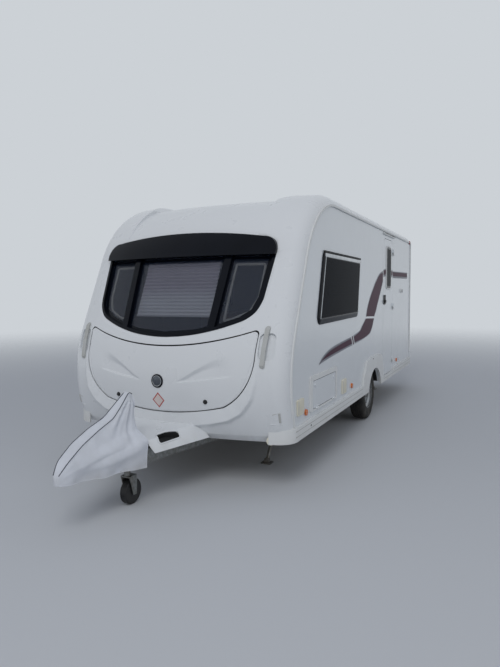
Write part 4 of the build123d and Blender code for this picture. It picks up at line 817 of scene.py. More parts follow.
def make_lid_furniture():
    """A blank badge disc, a blank diamond sign and two lock knobs."""
    for name, finish, profile in BADGE:
        front_disc(name, 0.0, BADGE_Z, profile, finish)
    for x, tag in ((-LOCK_X, "far"), (LOCK_X, "near")):
        for name, profile in LOCK:
            front_disc(f"{name}_{tag}", x, LOCK_Z, profile, "black")
    w, h = SIGN_HALF
    for name, grow, lift, finish in (("sign_border", 1.0, 0.0012, "sign_red"),
                                     ("sign_field", 0.80, 0.0018, "sign_white")):
        verts = [front_point(x * grow, SIGN_Z + z * grow, off)
                 for off in (lift, -0.001) for x, z in ((0, h), (w, 0), (0, -h), (-w, 0))]
        faces = [(3, 2, 1, 0)] + [(k, (k + 1) % 4, (k + 1) % 4 + 4, k + 4) for k in range(4)]
        add(name, verts, faces, finish, "front_lid", smooth=False)


# Side stripes: y from the line Y0, and z, of their edges, the same on both sides of the body
Y0 = AXLE_Y + 0.46
SWEEP_LEFT = [(0.036, 1.926), (-0.182, 1.879), (-0.409, 1.769), (-0.674, 1.592), (-0.824, 1.459),
              (-0.895, 1.345)]
SWEEP_RIGHT = [(0.037, 1.777), (-0.111, 1.629), (-0.283, 1.472), (-0.35, 1.405), (-0.41, 1.36), (-0.447, 1.330)]
MID_UPPER = [(-0.905, 1.322), (-1.061, 1.252), (-1.199, 1.190), (-1.46, 1.157)]
MID_LOWER = [(-0.462, 1.305), (-0.606, 1.165), (-0.812, 1.104), (-1.40, 1.058)]
TIP_UPPER = [(-1.56, 1.147), (-1.966, 1.120), (-2.305, 1.088), (-2.521, 1.04), (-2.64, 0.985)]
TIP_LOWER = [(-1.50, 1.052), (-1.779, 1.036), (-2.139, 1.014), (-2.46, 0.990), (-2.655, 0.970)]
SLIT_UPPER = [(-1.49, 1.154), (-1.53, 1.150)]
SLIT_LOWER = [(-1.43, 1.056), (-1.47, 1.054)]


def resampled(points, count):
    """Evenly spaced points on a smooth line through the given ones."""
    if len(points) == 2:
        return along_line(points, count)
    pts = [Vector(p) for p in points]
    line = []
    for k in range(len(pts) - 1):
        p0, p1, p2, p3 = (pts[min(max(k + j, 0), len(pts) - 1)] for j in (-1, 0, 1, 2))
        for j in range(12):
            t = j / 12
            line.append(0.5 * ((2 * p1) + (p2 - p0) * t + (2 * p0 - 5 * p1 + 4 * p2 - p3) * t * t
                               + (3 * p1 - p0 - 3 * p2 + p3) * t ** 3))
    return along_line([tuple(p) for p in line + pts[-1:]], count)


def stripe(name, upper, lower, inset, lift, finish, side, body=MAIN, count=40):
    """A film between two edges on the side wall, drawn in by an inset."""
    verts = []
    for top, bottom in zip(resampled(upper, count), resampled(lower, count)):
        across = hypot(bottom[0] - top[0], bottom[1] - top[1])
        share = min(inset / max(across, 0.001), 0.45)
        for y, z in (between(top, bottom, share), between(bottom, top, share)):
            verts.append((side * (SIDE_X + lift), y + Y0, z))
    faces = bands(count, 2, False)
    if side < 0:
        faces = [f[::-1] for f in faces]
    add(name, verts, faces, finish, body, smooth=False)


# The level bar behind the sweep: its heights, its rise, how far the paler band reaches past it, and its end
BAR_Z = (1.873, 1.932)
BAR_RISE = 0.018
BAR_DROP = 0.028
BAR_OVER = 0.012
BAR_END = 1.90
# How far the films lie off the wall: the pale ones below, the slit, the dark ones above
PALE_OUT = 0.0006
SLIT_OUT = 0.0009
DARK_OUT = 0.0012


def bar_run(name, y0, y1, side, body=MAIN):
    """A run of the level bar, with the paler band behind it."""
    for tag, low, high, lift, finish in (("_pale", -BAR_DROP, BAR_OVER, PALE_OUT, "silver_film"),
                                         ("", 0.0, 0.0, DARK_OUT, "maroon")):
        upper, lower = [[(y0, z), (y1, z + BAR_RISE)] for z in (BAR_Z[1] + high, BAR_Z[0] + low)]
        stripe(name + tag, upper, lower, 0.0, lift, finish, side, body, 12)


def make_stripes():
    """The stripes on both sides, cut at the door and its window."""
    door_y0, door_y1 = DOOR_LOW.y - Y0, DOOR_HIGH.y - Y0
    window_low, window_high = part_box("door_window")
    for side, tag, _ in SIDES:
        for name, upper, lower in (("sweep", SWEEP_LEFT, SWEEP_RIGHT), ("mid", MID_UPPER, MID_LOWER),
                                   ("tip", TIP_UPPER, TIP_LOWER)):
            stripe(f"stripe_{name}_edge_{tag}", upper, lower, 0.0, PALE_OUT, "silver_film", side)
            stripe(f"stripe_{name}_{tag}", upper, lower, 0.020, DARK_OUT, "maroon", side)
        stripe(f"stripe_slit_{tag}", SLIT_UPPER, SLIT_LOWER, 0.0, SLIT_OUT, "maroon", side, count=4)
    bar_run("stripe_bar_near", door_y1 + 0.008, BAR_END, 1)
    bar_run("stripe_bar_far", 0.045, BAR_END, -1)
    bar_run("stripe_door_fore", door_y0 + 0.004, window_low.y - Y0 - 0.004, 1, "door")
    bar_run("stripe_door_aft", window_high.y - Y0 + 0.004, DOOR_HIGH.y - Y0 - 0.020, 1, "door")


# Tyre with tread: steps round it, and the depth and the place across of its shoulder sipes
TREAD_STEPS = 132
SIPE_DEEP = 0.005
SIPE_AT = (0.046, 0.084)
TYRE_PROFILE = [
    # half the tyre's section, from the outer bead to the middle of the tread: place across, radius
    (0.070, 0.182), (0.084, 0.182), (0.0885, 0.196), (0.0915, 0.212), (0.0925, 0.226), (0.0945, 0.240),
    (0.0948, 0.256), (0.0935, 0.258), (0.0935, 0.262), (0.0945, 0.264), (0.0915, 0.285), (0.0860, 0.300),
    (0.0795, 0.311), (0.0720, 0.318), (0.0630, 0.3215), (0.0520, 0.3232), (0.0440, 0.3238), (0.0430, 0.3160),
    (0.0370, 0.3160), (0.0360, 0.3243), (0.0140, 0.3248), (0.0130, 0.3170), (0.0070, 0.3170), (0.0060, 0.3250),
    (0.0, 0.3250),
]


def make_tyre(side, tag):
    """A road tyre with ribs, shoulder sipes and a raised line round its wall."""
    half = TYRE_PROFILE[:-1]
    profile = half + [(-x, r) for x, r in reversed(TYRE_PROFILE)]
    verts = []
    for k in range(TREAD_STEPS):
        t = 2 * pi * k / TREAD_STEPS
        for x, r in profile:
            if k % 3 == 0 and SIPE_AT[0] < abs(x) < SIPE_AT[1]:
                r = r - SIPE_DEEP
            verts.append((side * (WHEEL_X + x), AXLE_Y + r * cos(t), TYRE_R + r * sin(t)))
    n = len(profile)
    faces = [(b, c, d, a) if side > 0 else (a, d, c, b) for a, b, c, d in bands(TREAD_STEPS, n, False, True)]
    for k in range(TREAD_STEPS):
        a, b = k * n, (k + 1) % TREAD_STEPS * n
        faces.append((a, a + n - 1, b + n - 1, b))
    obj = add("tyre_" + tag, verts, faces, "tyre", "wheel_" + tag, angle=50.0)
    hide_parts("tyre_" + tag)


# Wheel bolts: how many, their circle, their seat from the wheel's middle, and a bolt's profile
BOLTS = 5
BOLT_RING = 0.050
BOLT_OUT = 0.0445
BOLT = [(0, 0.0105), (0.003, 0.0105), (0.004, 0.0085), (0.014, 0.0085), (0.0155, 0.007)]


def make_wheels():
    """Tyres and wheel bolts."""
    for side, tag in ((1, "door_side"), (-1, "far_side")):
        make_tyre(side, tag)
        for k in range(BOLTS):
            t = 2 * pi * k / BOLTS + 0.3
            place = (side * (WHEEL_X + BOLT_OUT), AXLE_Y + BOLT_RING * cos(t), TYRE_R + BOLT_RING * sin(t))
            turned(f"wheel_bolt_{k}_{tag}", place, (side, 0, 0), BOLT, "galvanised", "wheel_" + tag, 6)


# Sections of the hitch cover
COVER_ROWS = [
    # y from the nose; half width and height of the hem, shoulder, waist and top seam; lean of the top
    (-1.140, 0.028, 0.372, 0.030, 0.402, 0.029, 0.420, 0.024, 0.438, 0.0),
    (-1.085, 0.052, 0.364, 0.062, 0.438, 0.056, 0.474, 0.046, 0.508, 0.0),
    (-0.945, 0.078, 0.350, 0.102, 0.462, 0.078, 0.535, 0.052, 0.597, 0.0),
    (-0.785, 0.106, 0.336, 0.138, 0.484, 0.086, 0.566, 0.052, 0.664, 0.002),
    (-0.625, 0.134, 0.326, 0.166, 0.502, 0.086, 0.580, 0.046, 0.716, 0.008),
    (-0.545, 0.150, 0.318, 0.178, 0.510, 0.086, 0.588, 0.038, 0.785, 0.018),
    (-0.440, 0.176, 0.306, 0.192, 0.518, 0.086, 0.592, 0.020, 0.886, 0.035),
    (-0.405, 0.186, 0.302, 0.198, 0.520, 0.086, 0.588, 0.018, 0.862, 0.036),
]
CLOTH_THICK = 0.0016
# The peak over the lever as y from the nose and z, and the height of the closed tip
PEAK = (-0.425, 0.88)
TIP_Z = 0.368
# Sections along the cover, points across half its top and down a flank, and radii of the trims
COVER_STEPS = 96
TOP_POINTS = 5
FLANK_POINTS = 46
SEAM_R = 0.0032
HEM_R = 0.0036
EDGE_TUBE_R = 0.0034


def folds(y, z, s, side):
    """How far the cloth stands off its drawn shape: creases from the peak and slack in the skirt."""
    dy, dz = y - PEAK[0], PEAK[1] - z
    r = hypot(dy, dz)
    turn = 0.0 if r < 0.001 else float(np.arctan2(dz, -dy))
    crease = sin(turn * 17 + side * 1.3) + 0.5 * sin(turn * 31 + 2.0)
    near = float(smooth_step(r / 0.10) * (1 - smooth_step((r - 0.12) / 0.38)))
    skirt = float(smooth_step((s - 0.62) / 0.3))
    wave = sin(y * 23 + side) * skirt
    soft = noise.noise(Vector((side * 3.1, y * 5.5, z * 6.5)))
    fine = noise.noise(Vector((side * 7.7, y * 15.0, z * 13.0)))
    middle = float(smooth_step((y + 0.98) / 0.20) * (1 - smooth_step((y + 0.52) / 0.12)))
    sag = middle * (0.008 * exp(-((s - 0.74) / 0.07) ** 2) - 0.016 * exp(-((s - 0.58) / 0.07) ** 2))
    return 0.0100 * crease * near + 0.0060 * wave + 0.0150 * soft * min(1.0, 3 * s) + 0.0050 * fine + sag


def rounded_line(points):
    """A line with its inner corners cut off twice."""
    for _ in range(2):
        inner = [between(a, b, t) for a, b in zip(points, points[1:]) for t in (0.25, 0.75)]
        points = [points[0], *inner, points[-1]]
    return points


def thickened(verts, faces, thick):
    """An open surface as a closed skin, thickened inwards."""
    bm = bmesh.new()
    made = [bm.verts.new(v) for v in verts]
    for f in faces:
        bm.faces.new([made[k] for k in f])
    bmesh.ops.recalc_face_normals(bm, faces=bm.faces)
    bm.normal_update()
    middle = sum((v.co for v in bm.verts), Vector()) / len(bm.verts)
    top = max(bm.verts, key=lambda v: v.co.z)
    sign = 1.0 if top.normal.dot(top.co - middle) > 0 else -1.0
    normals = [v.normal * sign for v in bm.verts]
    bm.verts.index_update()
    rim = [tuple(v.index for v in e.verts) for e in bm.edges if len(e.link_faces) == 1]
    outer = [v.co.copy() for v in bm.verts]
    bm.free()
    n = len(verts)
    inner = [p - q * thick for p, q in zip(outer, normals)]
    all_faces = list(faces) + [tuple(k + n for k in reversed(f)) for f in faces]
    all_faces += [(a, b, b + n, a + n) for a, b in rim]
    mesh = bpy.data.meshes.new("skin")
    mesh.from_pydata([tuple(v) for v in outer + inner], [], all_faces)
    outward(mesh)
    return mesh


def make_cover():
    """The cloth over the hitch, drawn up over the raised brake lever, with piped seams and a bound hem."""
    ys = [r[0] for r in COVER_ROWS]
    steps = COVER_STEPS
    sections = []
    for i in range(steps + 1):
        y = ys[0] + (ys[-1] - ys[0]) * i / steps
        spread = [y + d for d in (-0.018, 0.0, 0.018)] if 2 < i < steps - 8 else [y]
        hem, hem_z, wide, wide_z, waist, waist_z, top, top_z, lean = [
            float(np.mean([np.interp(q, ys, [r[k] for r in COVER_ROWS]) for q in spread]))
            for k in range(1, 10)]
        corners = [(top, top_z), (waist, waist_z), (wide, wide_z), (hem, hem_z)]
        sides = [between(a, b, t) for a, b in zip(corners, corners[1:]) for t in (0.0, 0.3, 0.7)]
        flank = along_line(rounded_line(sides + corners[-1:]), FLANK_POINTS)
        section = []
        for side in (-1, 1):
            half = []
            for k, (x, z) in enumerate(flank):
                share = k / (FLANK_POINTS - 1)
                a, b = flank[max(k - 1, 0)], flank[min(k + 1, FLANK_POINTS - 1)]
                run = hypot(b[0] - a[0], b[1] - a[1])
                out = ((a[1] - b[1]) / run, (b[0] - a[0]) / run)
                push = folds(y, z, share, side) * float(smooth_step(share / 0.08))
                tilt = lean * float(smooth_step((z - waist_z + 0.04) / max(top_z - waist_z, 0.01)))
                half.append((side * (x + out[0] * push) + tilt, NOSE + y, z + out[1] * push))
            lid = [(side * top * k / TOP_POINTS + lean, NOSE + y, top_z - 0.005 * (1 - (k / TOP_POINTS) ** 2))
                   for k in range(1, TOP_POINTS)]
            section.append(lid + half)
        middle = [(lean, NOSE + y, top_z - 0.005)]
        sections.append([*reversed(section[0]), *middle, *section[1]])
    wide = len(sections[0])
    verts = [v for row in sections for v in row]
    faces = [(a, d, c, b) for a, b, c, d in bands(steps + 1, wide, False)]
    faces += [(j, j + 1, len(verts)) for j in range(wide - 1)]
    verts.append((0.0, NOSE + ys[0] - 0.004, TIP_Z))
    mesh = thickened(verts, faces, CLOTH_THICK)
    cloth = add_mesh("hitch_cloth", mesh, "cloth", MAIN, angle=60.0)
    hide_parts("hitch_cover")
    seam = FLANK_POINTS - 1
    for name, place, every, radius, finish in (
            ("seam_far", seam, 3, SEAM_R, "piping"), ("seam_near", wide - 1 - seam, 3, SEAM_R, "piping"),
            ("hem_far", 0, 4, HEM_R, "cloth"), ("hem_near", wide - 1, 4, HEM_R, "cloth")):
        line = [sections[i][place] for i in range(0, steps + 1, every)]
        tube("hitch_" + name, line, radius, finish)
    tube("hitch_edge", sections[-1][::4], EDGE_TUBE_R, "cloth")
    area = 0.0
    for f in faces:
        p = [Vector(verts[k]) for k in f]
        area += (p[1] - p[0]).cross(p[2] - p[0]).length / 2
        if len(f) == 4:
            area += (p[2] - p[0]).cross(p[3] - p[0]).length / 2
    width = max(length_of(row) for row in sections) + 0.04
    length = max(length_of(row[wide // 2] for row in sections) + 0.06, area / width * 1.01)


# Side and rear panes: thickness, corner radius and width of the black border
PANE_THICK = 0.018
PANE_R = 0.070
BORDER = 0.058


def round_poly(corners, radius, inset, steps=CORNER_STEPS):
    """A convex outline moved inwards by an inset, with rounded corners."""
    pts = [Vector(c) for c in corners]
    middle = sum(pts, Vector((0, 0))) / len(pts)
    lines = []
    for a, b in zip(pts, pts[1:] + pts[:1]):
        along = (b - a).normalized()
        inward = Vector((-along.y, along.x))
        if inward.dot(middle - a) < 0:
            inward = -inward
        lines.append((a + inward * inset, along))
    moved = []
    for (p, d), (q, e) in zip(lines[-1:] + lines[:-1], lines):
        t = ((q.x - p.x) * e.y - (q.y - p.y) * e.x) / (d.x * e.y - d.y * e.x)
        moved.append(p + d * t)
    r = max(radius - inset, 0.006)
    out = []
    for k, c in enumerate(moved):
        u = (moved[k - 1] - c).normalized()
        v = (moved[(k + 1) % len(moved)] - c).normalized()
        half = u.angle(v) / 2
        reach = r / np.tan(half)
        centre = c + (u + v).normalized() * (r / sin(half))
        a, b = c + u * reach - centre, c + v * reach - centre
        for j in range(steps + 1):
            out.append(centre + a.lerp(b, j / steps).normalized() * r)
    return out


def ring_piece(name, face, corners, radius, profile, finish, body=MAIN, cap=False):
    """Rings on a flat face from a profile of (inset, height); closed round, or capped by a flat middle."""
    verts = [on_face(face, p.x, p.y, w) for inset, w in profile for p in round_poly(corners, radius, inset)]
    n = len(verts) // len(profile)
    faces = bands(len(profile), n, ends=not cap)
    if cap:
        faces += [tuple(range(len(verts) - n, len(verts))), tuple(reversed(range(n)))]
    obj = add(name, verts, faces, finish, body)
    outward(obj.data)
    return obj


def hinged_pane(name, face, corners, base, node):
    """A double acrylic pane, a sloping black border and a tinted middle, in place of a node; the middle's
    near-black is partly painted shade for the cabin behind.
    """
    top = base + PANE_THICK - 0.0006
    border = ring_piece(name + "_border", face, corners, PANE_R, [
        (0.0, base), (0.0, base + 0.006), (0.004, base + 0.0085), (BORDER - 0.016, top - 0.001),
        (BORDER - 0.010, top), (BORDER, top - 0.0005), (BORDER, base)], "gloss_dark")
    middle = ring_piece(name + "_glass", face, corners, PANE_R, [
        (BORDER, top - 0.009), (BORDER, top - 0.003), (BORDER + 0.001, top - 0.002)], "glass", cap=True)
    for piece in (border, middle):
        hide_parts(node)


def flat_corners(low, high, axis, grow=0.0):
    """The corners of a box's side as points along an axis and z."""
    a, b = low[axis] - grow, high[axis] + grow
    return [(a, high.z + grow), (a, low.z - grow), (b, low.z - grow), (b, high.z + grow)]


# Corners of the side panes, y and z: the front one from the nose, the others from the axle
FRONT_SIDE = [(1.092, 2.018), (0.905, 1.338), (2.335, 1.362), (2.440, 2.014)]
KITCHEN = [(-0.560, 2.014), (-0.590, 1.450), (0.250, 1.450), (0.280, 2.014)]
WASHROOM = [(1.680, 2.010), (1.680, 1.620), (2.160, 1.620), (2.160, 2.010)]
# The rail along the door-side pane's top: ends and middle from the pane's corners
RAIL_ENDS = (0.030, 0.026)
RAIL_DOWN = 0.006
# A chrome line laid on the pane along its front edge, standing in for a bright reflection there (painted
# reflection): thickness, and how far it is from the corners' line
EDGE_R = 0.0045
EDGE_BACK = 0.060
DOOR_BORDER = 0.024
DOOR_FRAME = 0.022


def make_windows():
    """The side and rear panes, and the door's own window."""
    wall = SIDE_X + SEAT
    front_side = [(NOSE + y, z) for y, z in FRONT_SIDE]
    hinged_pane("side_pane_door", "right", front_side, wall, "side_window_door")
    rail_y0, rail_y1 = front_side[0][0] + RAIL_ENDS[0], front_side[3][0] - RAIL_ENDS[1]
    rail_y, rail_half = (rail_y0 + rail_y1) / 2, (rail_y1 - rail_y0) / 2
    rail_z = front_side[0][1] - RAIL_DOWN
    pad("side_rail_light", "right", (rail_y, rail_z - 0.030), (rail_half, 0.017), 0.006, SIDE_X + 0.0150,
        0.0030, "chrome", bevel=0.0012)
    pad("side_rail_top", "right", (rail_y, rail_z + 0.001), (rail_half + 0.012, 0.010), 0.006, wall,
        0.0150, "seal")
    edge = [between(*front_side[:2], 0.08 + 0.84 * k / 16) for k in range(17)]
    # Painted reflection: a chrome line on the pane where it shows a bright reflection
    tube("side_edge_painted_reflection", [(SIDE_X + 0.0178, y + EDGE_BACK, z) for y, z in edge], EDGE_R, "chrome")
    hinged_pane("side_pane_far_front", "left", front_side, wall, "side_windows_far")
    for tag, corners in (("kitchen", KITCHEN), ("washroom", WASHROOM)):
        hinged_pane("side_pane_far_" + tag, "left", [(AXLE_Y + y, z) for y, z in corners], wall,
                    "side_windows_far")
    hinged_pane("rear_pane", "back", flat_corners(*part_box("rear_window"), 0), REAR_WALL + SEAT, "rear_window")
    low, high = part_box("door_window")
    below, above = high.x - 0.001, high.x + 0.0008
    ring_piece("door_window_border", "right", flat_corners(low, high, 1), 0.060,
               [(0.0, below), (0.0, above), (DOOR_BORDER, above), (DOOR_BORDER, below)], "gloss_dark", "door")
    ring_piece("door_window_frame", "right", flat_corners(low, high, 1, DOOR_FRAME), 0.080, [
        (0.0, wall), (0.0, SIDE_X + 0.008), (0.004, SIDE_X + 0.011), (0.018, SIDE_X + 0.011),
        (0.021, SIDE_X + 0.009), (0.021, wall)], "trim", "door")


# Front glazing: how far the panes lie behind the plain front, and their edge inside the opening's
PANE_IN = 0.040
EDGE_IN = 0.026
# Widths of the front panes' borders: below, above and beside the pillars
LOW_BORDER = 0.034
TOP_BORDER = 0.024
PILLAR_BORDER = 0.022
# Pillars: x of the middle and half width, and how far they lean outwards; then the panes' top and low ends
PILLAR = (0.456, 0.030)
PILLAR_LEAN = 0.022
GLASS_TOP = 1.955
GLASS_LOW = 1.20
# Frame of the blind behind a side pane: x and z of its corners, and how far it lies behind the pane
CASSETTE = [(0.545, 1.905), (0.80, 1.905), (0.792, 1.62), (0.735, 1.505), (0.60, 1.445), (0.525, 1.43),
            (0.53, 1.65), (0.545, 1.905)]
CASSETTE_IN = 0.030


def pillar_x(z):
    """The middle of a front pillar at a height."""
    return PILLAR[0] - PILLAR_LEAN + 2 * PILLAR_LEAN * (z - GLASS_LOW) / (GLASS_TOP - GLASS_LOW)


def ribbon(name, line, out, width):
    """A flat dark strip on the front panes, from a line of (x, z) by width in the out direction."""
    lift = 0.0008 - PANE_IN
    verts = []
    for (x, z), (ox, oz) in zip(line, out):
        verts.append(front_point(x, z, lift))
        verts.append(front_point(x + ox * width, z + oz * width, lift))
    mesh = bpy.data.meshes.new(name)
    mesh.from_pydata([tuple(v) for v in verts], [], bands(len(line), 2, False))
    bm = bmesh.new()
    bm.from_mesh(mesh)
    bmesh.ops.recalc_face_normals(bm, faces=bm.faces)
    bm.normal_update()
    if sum((f.normal.y * f.calc_area() for f in bm.faces)) > 0:
        bmesh.ops.reverse_faces(bm, faces=bm.faces)
    bm.to_mesh(mesh)
    bm.free()
    add_mesh(name, mesh, "gloss_dark")


def make_front_glazing():
    """Black borders round the front panes, and an inner frame behind each side pane."""
    half = [(x, z) for x, z in GLAZING_HALF_OUTLINE if z < GLASS_TOP + 0.06]
    ring = half + [(-x, z) for x, z in reversed(half) if x > 0]
    dense = [between(a, b, k / 8) for a, b in zip(ring, ring[1:]) for k in range(8)] + ring[-1:]
    line, out = [], []
    for k, (x, z) in enumerate(dense):
        a, b = dense[max(k - 3, 0)], dense[min(k + 3, len(dense) - 1)]
        run = hypot(b[0] - a[0], b[1] - a[1])
        inward = ((b[1] - a[1]) / run, -(b[0] - a[0]) / run)
        if inward[0] * x + inward[1] * (z - 1.7) > 0:
            inward = (-inward[0], -inward[1])
        if z < GLASS_TOP + 0.02:
            line.append((x + inward[0] * (EDGE_IN - 0.004), z + inward[1] * (EDGE_IN - 0.004)))
            out.append(inward)
    ribbon("front_border_low", line, out, LOW_BORDER)
    top_x = np.linspace(-0.85, 0.85, 40)
    ribbon("front_border_top", [(x, GLASS_TOP + 0.004) for x in top_x], [(0, -1)] * 40, TOP_BORDER)
    zs = np.linspace(1.31, GLASS_TOP, 20)
    for side, tag in ((-1, "far"), (1, "near")):
        for edge, end in ((-1, "_in"), (1, "_out")):
            strip = [(side * (pillar_x(z) + edge * (PILLAR[1] - 0.003)), z) for z in zs]
            ribbon("front_border_" + tag + end, strip, [(side * edge, 0)] * 20, PILLAR_BORDER)
        path = [between(a, b, k / 6) for a, b in zip(CASSETTE, CASSETTE[1:]) for k in range(6)]
        path = [front_point(side * x, z, -PANE_IN - CASSETTE_IN) for x, z in path]
        tube("inner_frame_" + tag, path + path[:1], 0.011, "grey_plastic")


# Blinds: depth of a pleat; pleats, ends and heights of the front one, and of the side one from the nose
PLEAT_DEEP = 0.013
FRONT_BLIND = (16, 0.385, 1.43, 1.915)
SIDE_BLIND = (13, 1.14, 2.32, 1.60, 1.985)


def pleated(name, points_at, rows):
    """A pleated blind: points_at(u, v, out) gives its place, u across, v down in pleats."""
    columns = 6
    verts = [points_at(c / columns, r / (2 * rows), PLEAT_DEEP if r % 2 else 0.0)
             for r in range(2 * rows + 1) for c in range(columns + 1)]
    piece = add(name, verts, bands(2 * rows + 1, columns + 1, False), "blind", MAIN, smooth=False)
    long = length_of(verts[::columns + 1])


def make_blinds():
    """Half-drawn blinds behind the front middle pane and the door-side window."""
    pleats, half, low, high = FRONT_BLIND

    def front_blind(u, v, out):
        z = high + (low - high) * v
        x = half * (2 * u - 1)
        return (x, front_y(0.40, z) + PANE_IN + 0.045 - out, z)

    pleated("front_blind", front_blind, pleats)
    pleats, y0, y1, bottom, top = SIDE_BLIND
    y0, y1 = NOSE + y0, NOSE + y1

    def side_blind(u, v, out):
        return (SIDE_X - 0.040 + out, y0 + (y1 - y0) * u, top + (bottom - top) * v)

    pleated("side_blind", side_blind, pleats)


# Cushions: squareness, cuts along an edge and how full they are; the seat's thickness and depth, and
# the back's thickness
CUSHION_POWER = 7.0
CUSHION_CUTS = 14
SEAT_THICK = 0.1147
SEAT_DEEP = 0.660
BACK_THICK = 0.115


def cushion(name, low, high):
    """A crowned foam cushion with a seam round its edge, inside the box from low to high."""
    low, high = Vector(low), Vector(high)
    middle = (low + high) / 2
    half = (high - low) / 2
    thin = min(range(3), key=lambda a: half[a])
    bm = bmesh.new()
    bmesh.ops.create_cube(bm, size=2.0)
    bmesh.ops.subdivide_edges(bm, edges=bm.edges, cuts=CUSHION_CUTS, use_grid_fill=True)
    for v in bm.verts:
        q = [float(np.clip(c, -1, 1)) for c in v.co]
        r = sum(abs(c) ** CUSHION_POWER for c in q) ** (1 / CUSHION_POWER)
        p = [c / r for c in q]
        groove = 0.012 * max(0.0, 1 - abs(q[thin]) / 0.16)
        for a in range(3):
            if a != thin:
                p[a] *= 1 - groove
        soft = 0.01 * noise.noise(Vector(p) * 2.3 + middle)
        v.co = [middle[a] + half[a] * p[a] * (0.99 + soft) for a in range(3)]
    mesh = bpy.data.meshes.new(name)
    bm.to_mesh(mesh)
    bm.free()
    piece = add_mesh(name, mesh, "fabric", MAIN, angle=60.0)
    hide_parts("seat_cushions")


def make_cushions():
    """Two seat and two back cushions along each side."""
    low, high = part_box("seat_cushions")
    seat_top = low.z + SEAT_THICK
    inner = high.x - SEAT_DEEP
    split = (low.y + high.y) / 2
    for side, tag, _ in SIDES:
        for part, y0, y1 in (("fore", low.y, split - 0.003), ("aft", split + 0.003, high.y)):
            for kind, x0, z0, z1 in (("seat", inner, low.z, seat_top),
                                     ("back", high.x - BACK_THICK, seat_top + 0.001, high.z)):
                x_low, x_high = sorted((side * x0, side * high.x))
                cushion(f"{kind}_{part}_{tag}", (x_low, y0, z0), (x_high, y1, z1))


# Small step in the moulding below each grab handle: x and z of each line, its thickness and finish
CORNER_STEP = [("lip", [(0.985, 0.664), (1.020, 0.676), (1.055, 0.687), (1.085, 0.695)], 0.0035,
                "grey_plastic"),
               ("stub", [(1.036, 0.676), (1.036, 0.640), (1.036, 0.600)], 0.0100, "grey_plastic"),
               ("ledge", [(0.962, 0.584), (1.000, 0.585), (1.048, 0.586)], 0.0055, "moulding")]
# The rounded corner beside the bowed front: x, and how far it lies behind the front's edge
CORNER_X = [0.96, 0.99, 1.02, 1.05, 1.08, 1.10]
CORNER_BACK = [0.0, 0.009, 0.021, 0.0425, 0.0835, 0.146]
# Skirt ribs: heights, half height, thickness, and where they end, from nose, axle, door and back
RIB_Z = (0.452, 0.498)
RIB_HALF = 0.0032
RIB_THICK = 0.0044
RIB_NOSE = 0.34
RIB_AXLE = (0.66, 0.505)
RIB_DOOR = (0.03, 0.07)
RIB_BACK = 0.01
# Catch plates: y from the nose at both ends, z at both ends
CATCHES = [(0.410, 0.560, 0.610, 0.742), (1.715, 1.865, 0.572, 0.722)]
# Rain rail: its height over the door
RAIN_RAIL_UP = 0.052
# Retainer and holes: y from the door, the axle and the nose, and z; and the place of the small disc
RETAINER = (0.655, 1.660)
ARCH_HOLE = (-0.129, 0.800)
SKIRT_HOLE = (0.702, 0.475)
DISC_PLACE = (0.949, -2.205, 0.439)


def corner_point(side, x, z):
    """A point on the rounded corner beside the bowed front."""
    return (side * x, front_y(CORNER_X[0], z) + float(np.interp(x, CORNER_X, CORNER_BACK)), z)


def make_side_trim():
    """Skirt ribs and holes, catch plates, the door's rain rail and retainer, and the corner steps."""
    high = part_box("skirt_door_side")[1]
    end = high.y - RIB_BACK
    hole = (high.x - 0.002, 0.0024, "black", 0.0005)
    fore = (NOSE + RIB_NOSE, AXLE_Y - RIB_AXLE[0])
    aft = (AXLE_Y + RIB_AXLE[1], end)
    cut = ((aft[0], DOOR_LOW.y - RIB_DOOR[0]), (DOOR_HIGH.y + RIB_DOOR[1], end))
    for k, z in enumerate(RIB_Z):
        for j, run in enumerate((fore, aft)):
            for side, tag, face in SIDES:
                for i, (a, b) in enumerate(cut if side > 0 and j and k else (run,)):
                    if b - a > 0.05:
                        pad(f"skirt_rib_{k}{j}{i}_{tag}", face, ((a + b) / 2, z), ((b - a) / 2, RIB_HALF),
                            0.003, high.x - 0.0040, RIB_THICK, "grey_plastic", bevel=0.0002)
    for _, tag, face in SIDES:
        pad("arch_hole_" + tag, face, (AXLE_Y + ARCH_HOLE[0], ARCH_HOLE[1]), (0.011, 0.011), 0.011, *hole)
    for y0, y1, z0, z1 in CATCHES:
        y0, y1, z = NOSE + y0, NOSE + y1, (z0 + z1) / 2
        tag = int(y0 * 1000)
        pad(f"catch_plate_{tag}", "right", ((y0 + y1) / 2, z), ((y1 - y0) / 2 + 0.0006, (z1 - z0) / 2 + 0.0006),
            0.0125, SIDE_X + SEAT, 0.0126, "cream", bevel=0.002)
        pad(f"catch_edge_{tag}", "right", (y0 + 0.020, z), (0.006, (z1 - z0) / 2 - 0.012), 0.004,
            SIDE_X + 0.0126, 0.0020, "grey_plastic", bevel=0.0006)
    pad("rain_rail_top", "right", ((DOOR_LOW.y + DOOR_HIGH.y) / 2 + 0.025, DOOR_HIGH.z + RAIN_RAIL_UP + 0.017),
        ((DOOR_HIGH.y - DOOR_LOW.y) / 2 + 0.040, 0.004), 0.003, SIDE_X + 0.0195, 0.0012, "black", bevel=0.0004)
    pad("door_retainer", "right", (DOOR_HIGH.y + RETAINER[0], RETAINER[1]), (0.0305, 0.0255), 0.012,
        SIDE_X + SEAT, 0.0226, "seal", bevel=0.004)
    turned("corner_disc_near", DISC_PLACE, (0.35, -0.93, 0.0),
           [(-0.004, 0.035), (0.004, 0.035), (0.007, 0.031), (0.008, 0.004)], "cream")
    for side, tag, _ in SIDES:
        for part, line, thick, finish in CORNER_STEP:
            tube(f"corner_{part}_{tag}", [corner_point(side, x, z) for x, z in line], thick, finish)
    for _, tag, face in SIDES:
        pad("skirt_hole_" + tag, face, (NOSE + SKIRT_HOLE[0], SKIRT_HOLE[1]), (0.012, 0.008), 0.008, *hole)


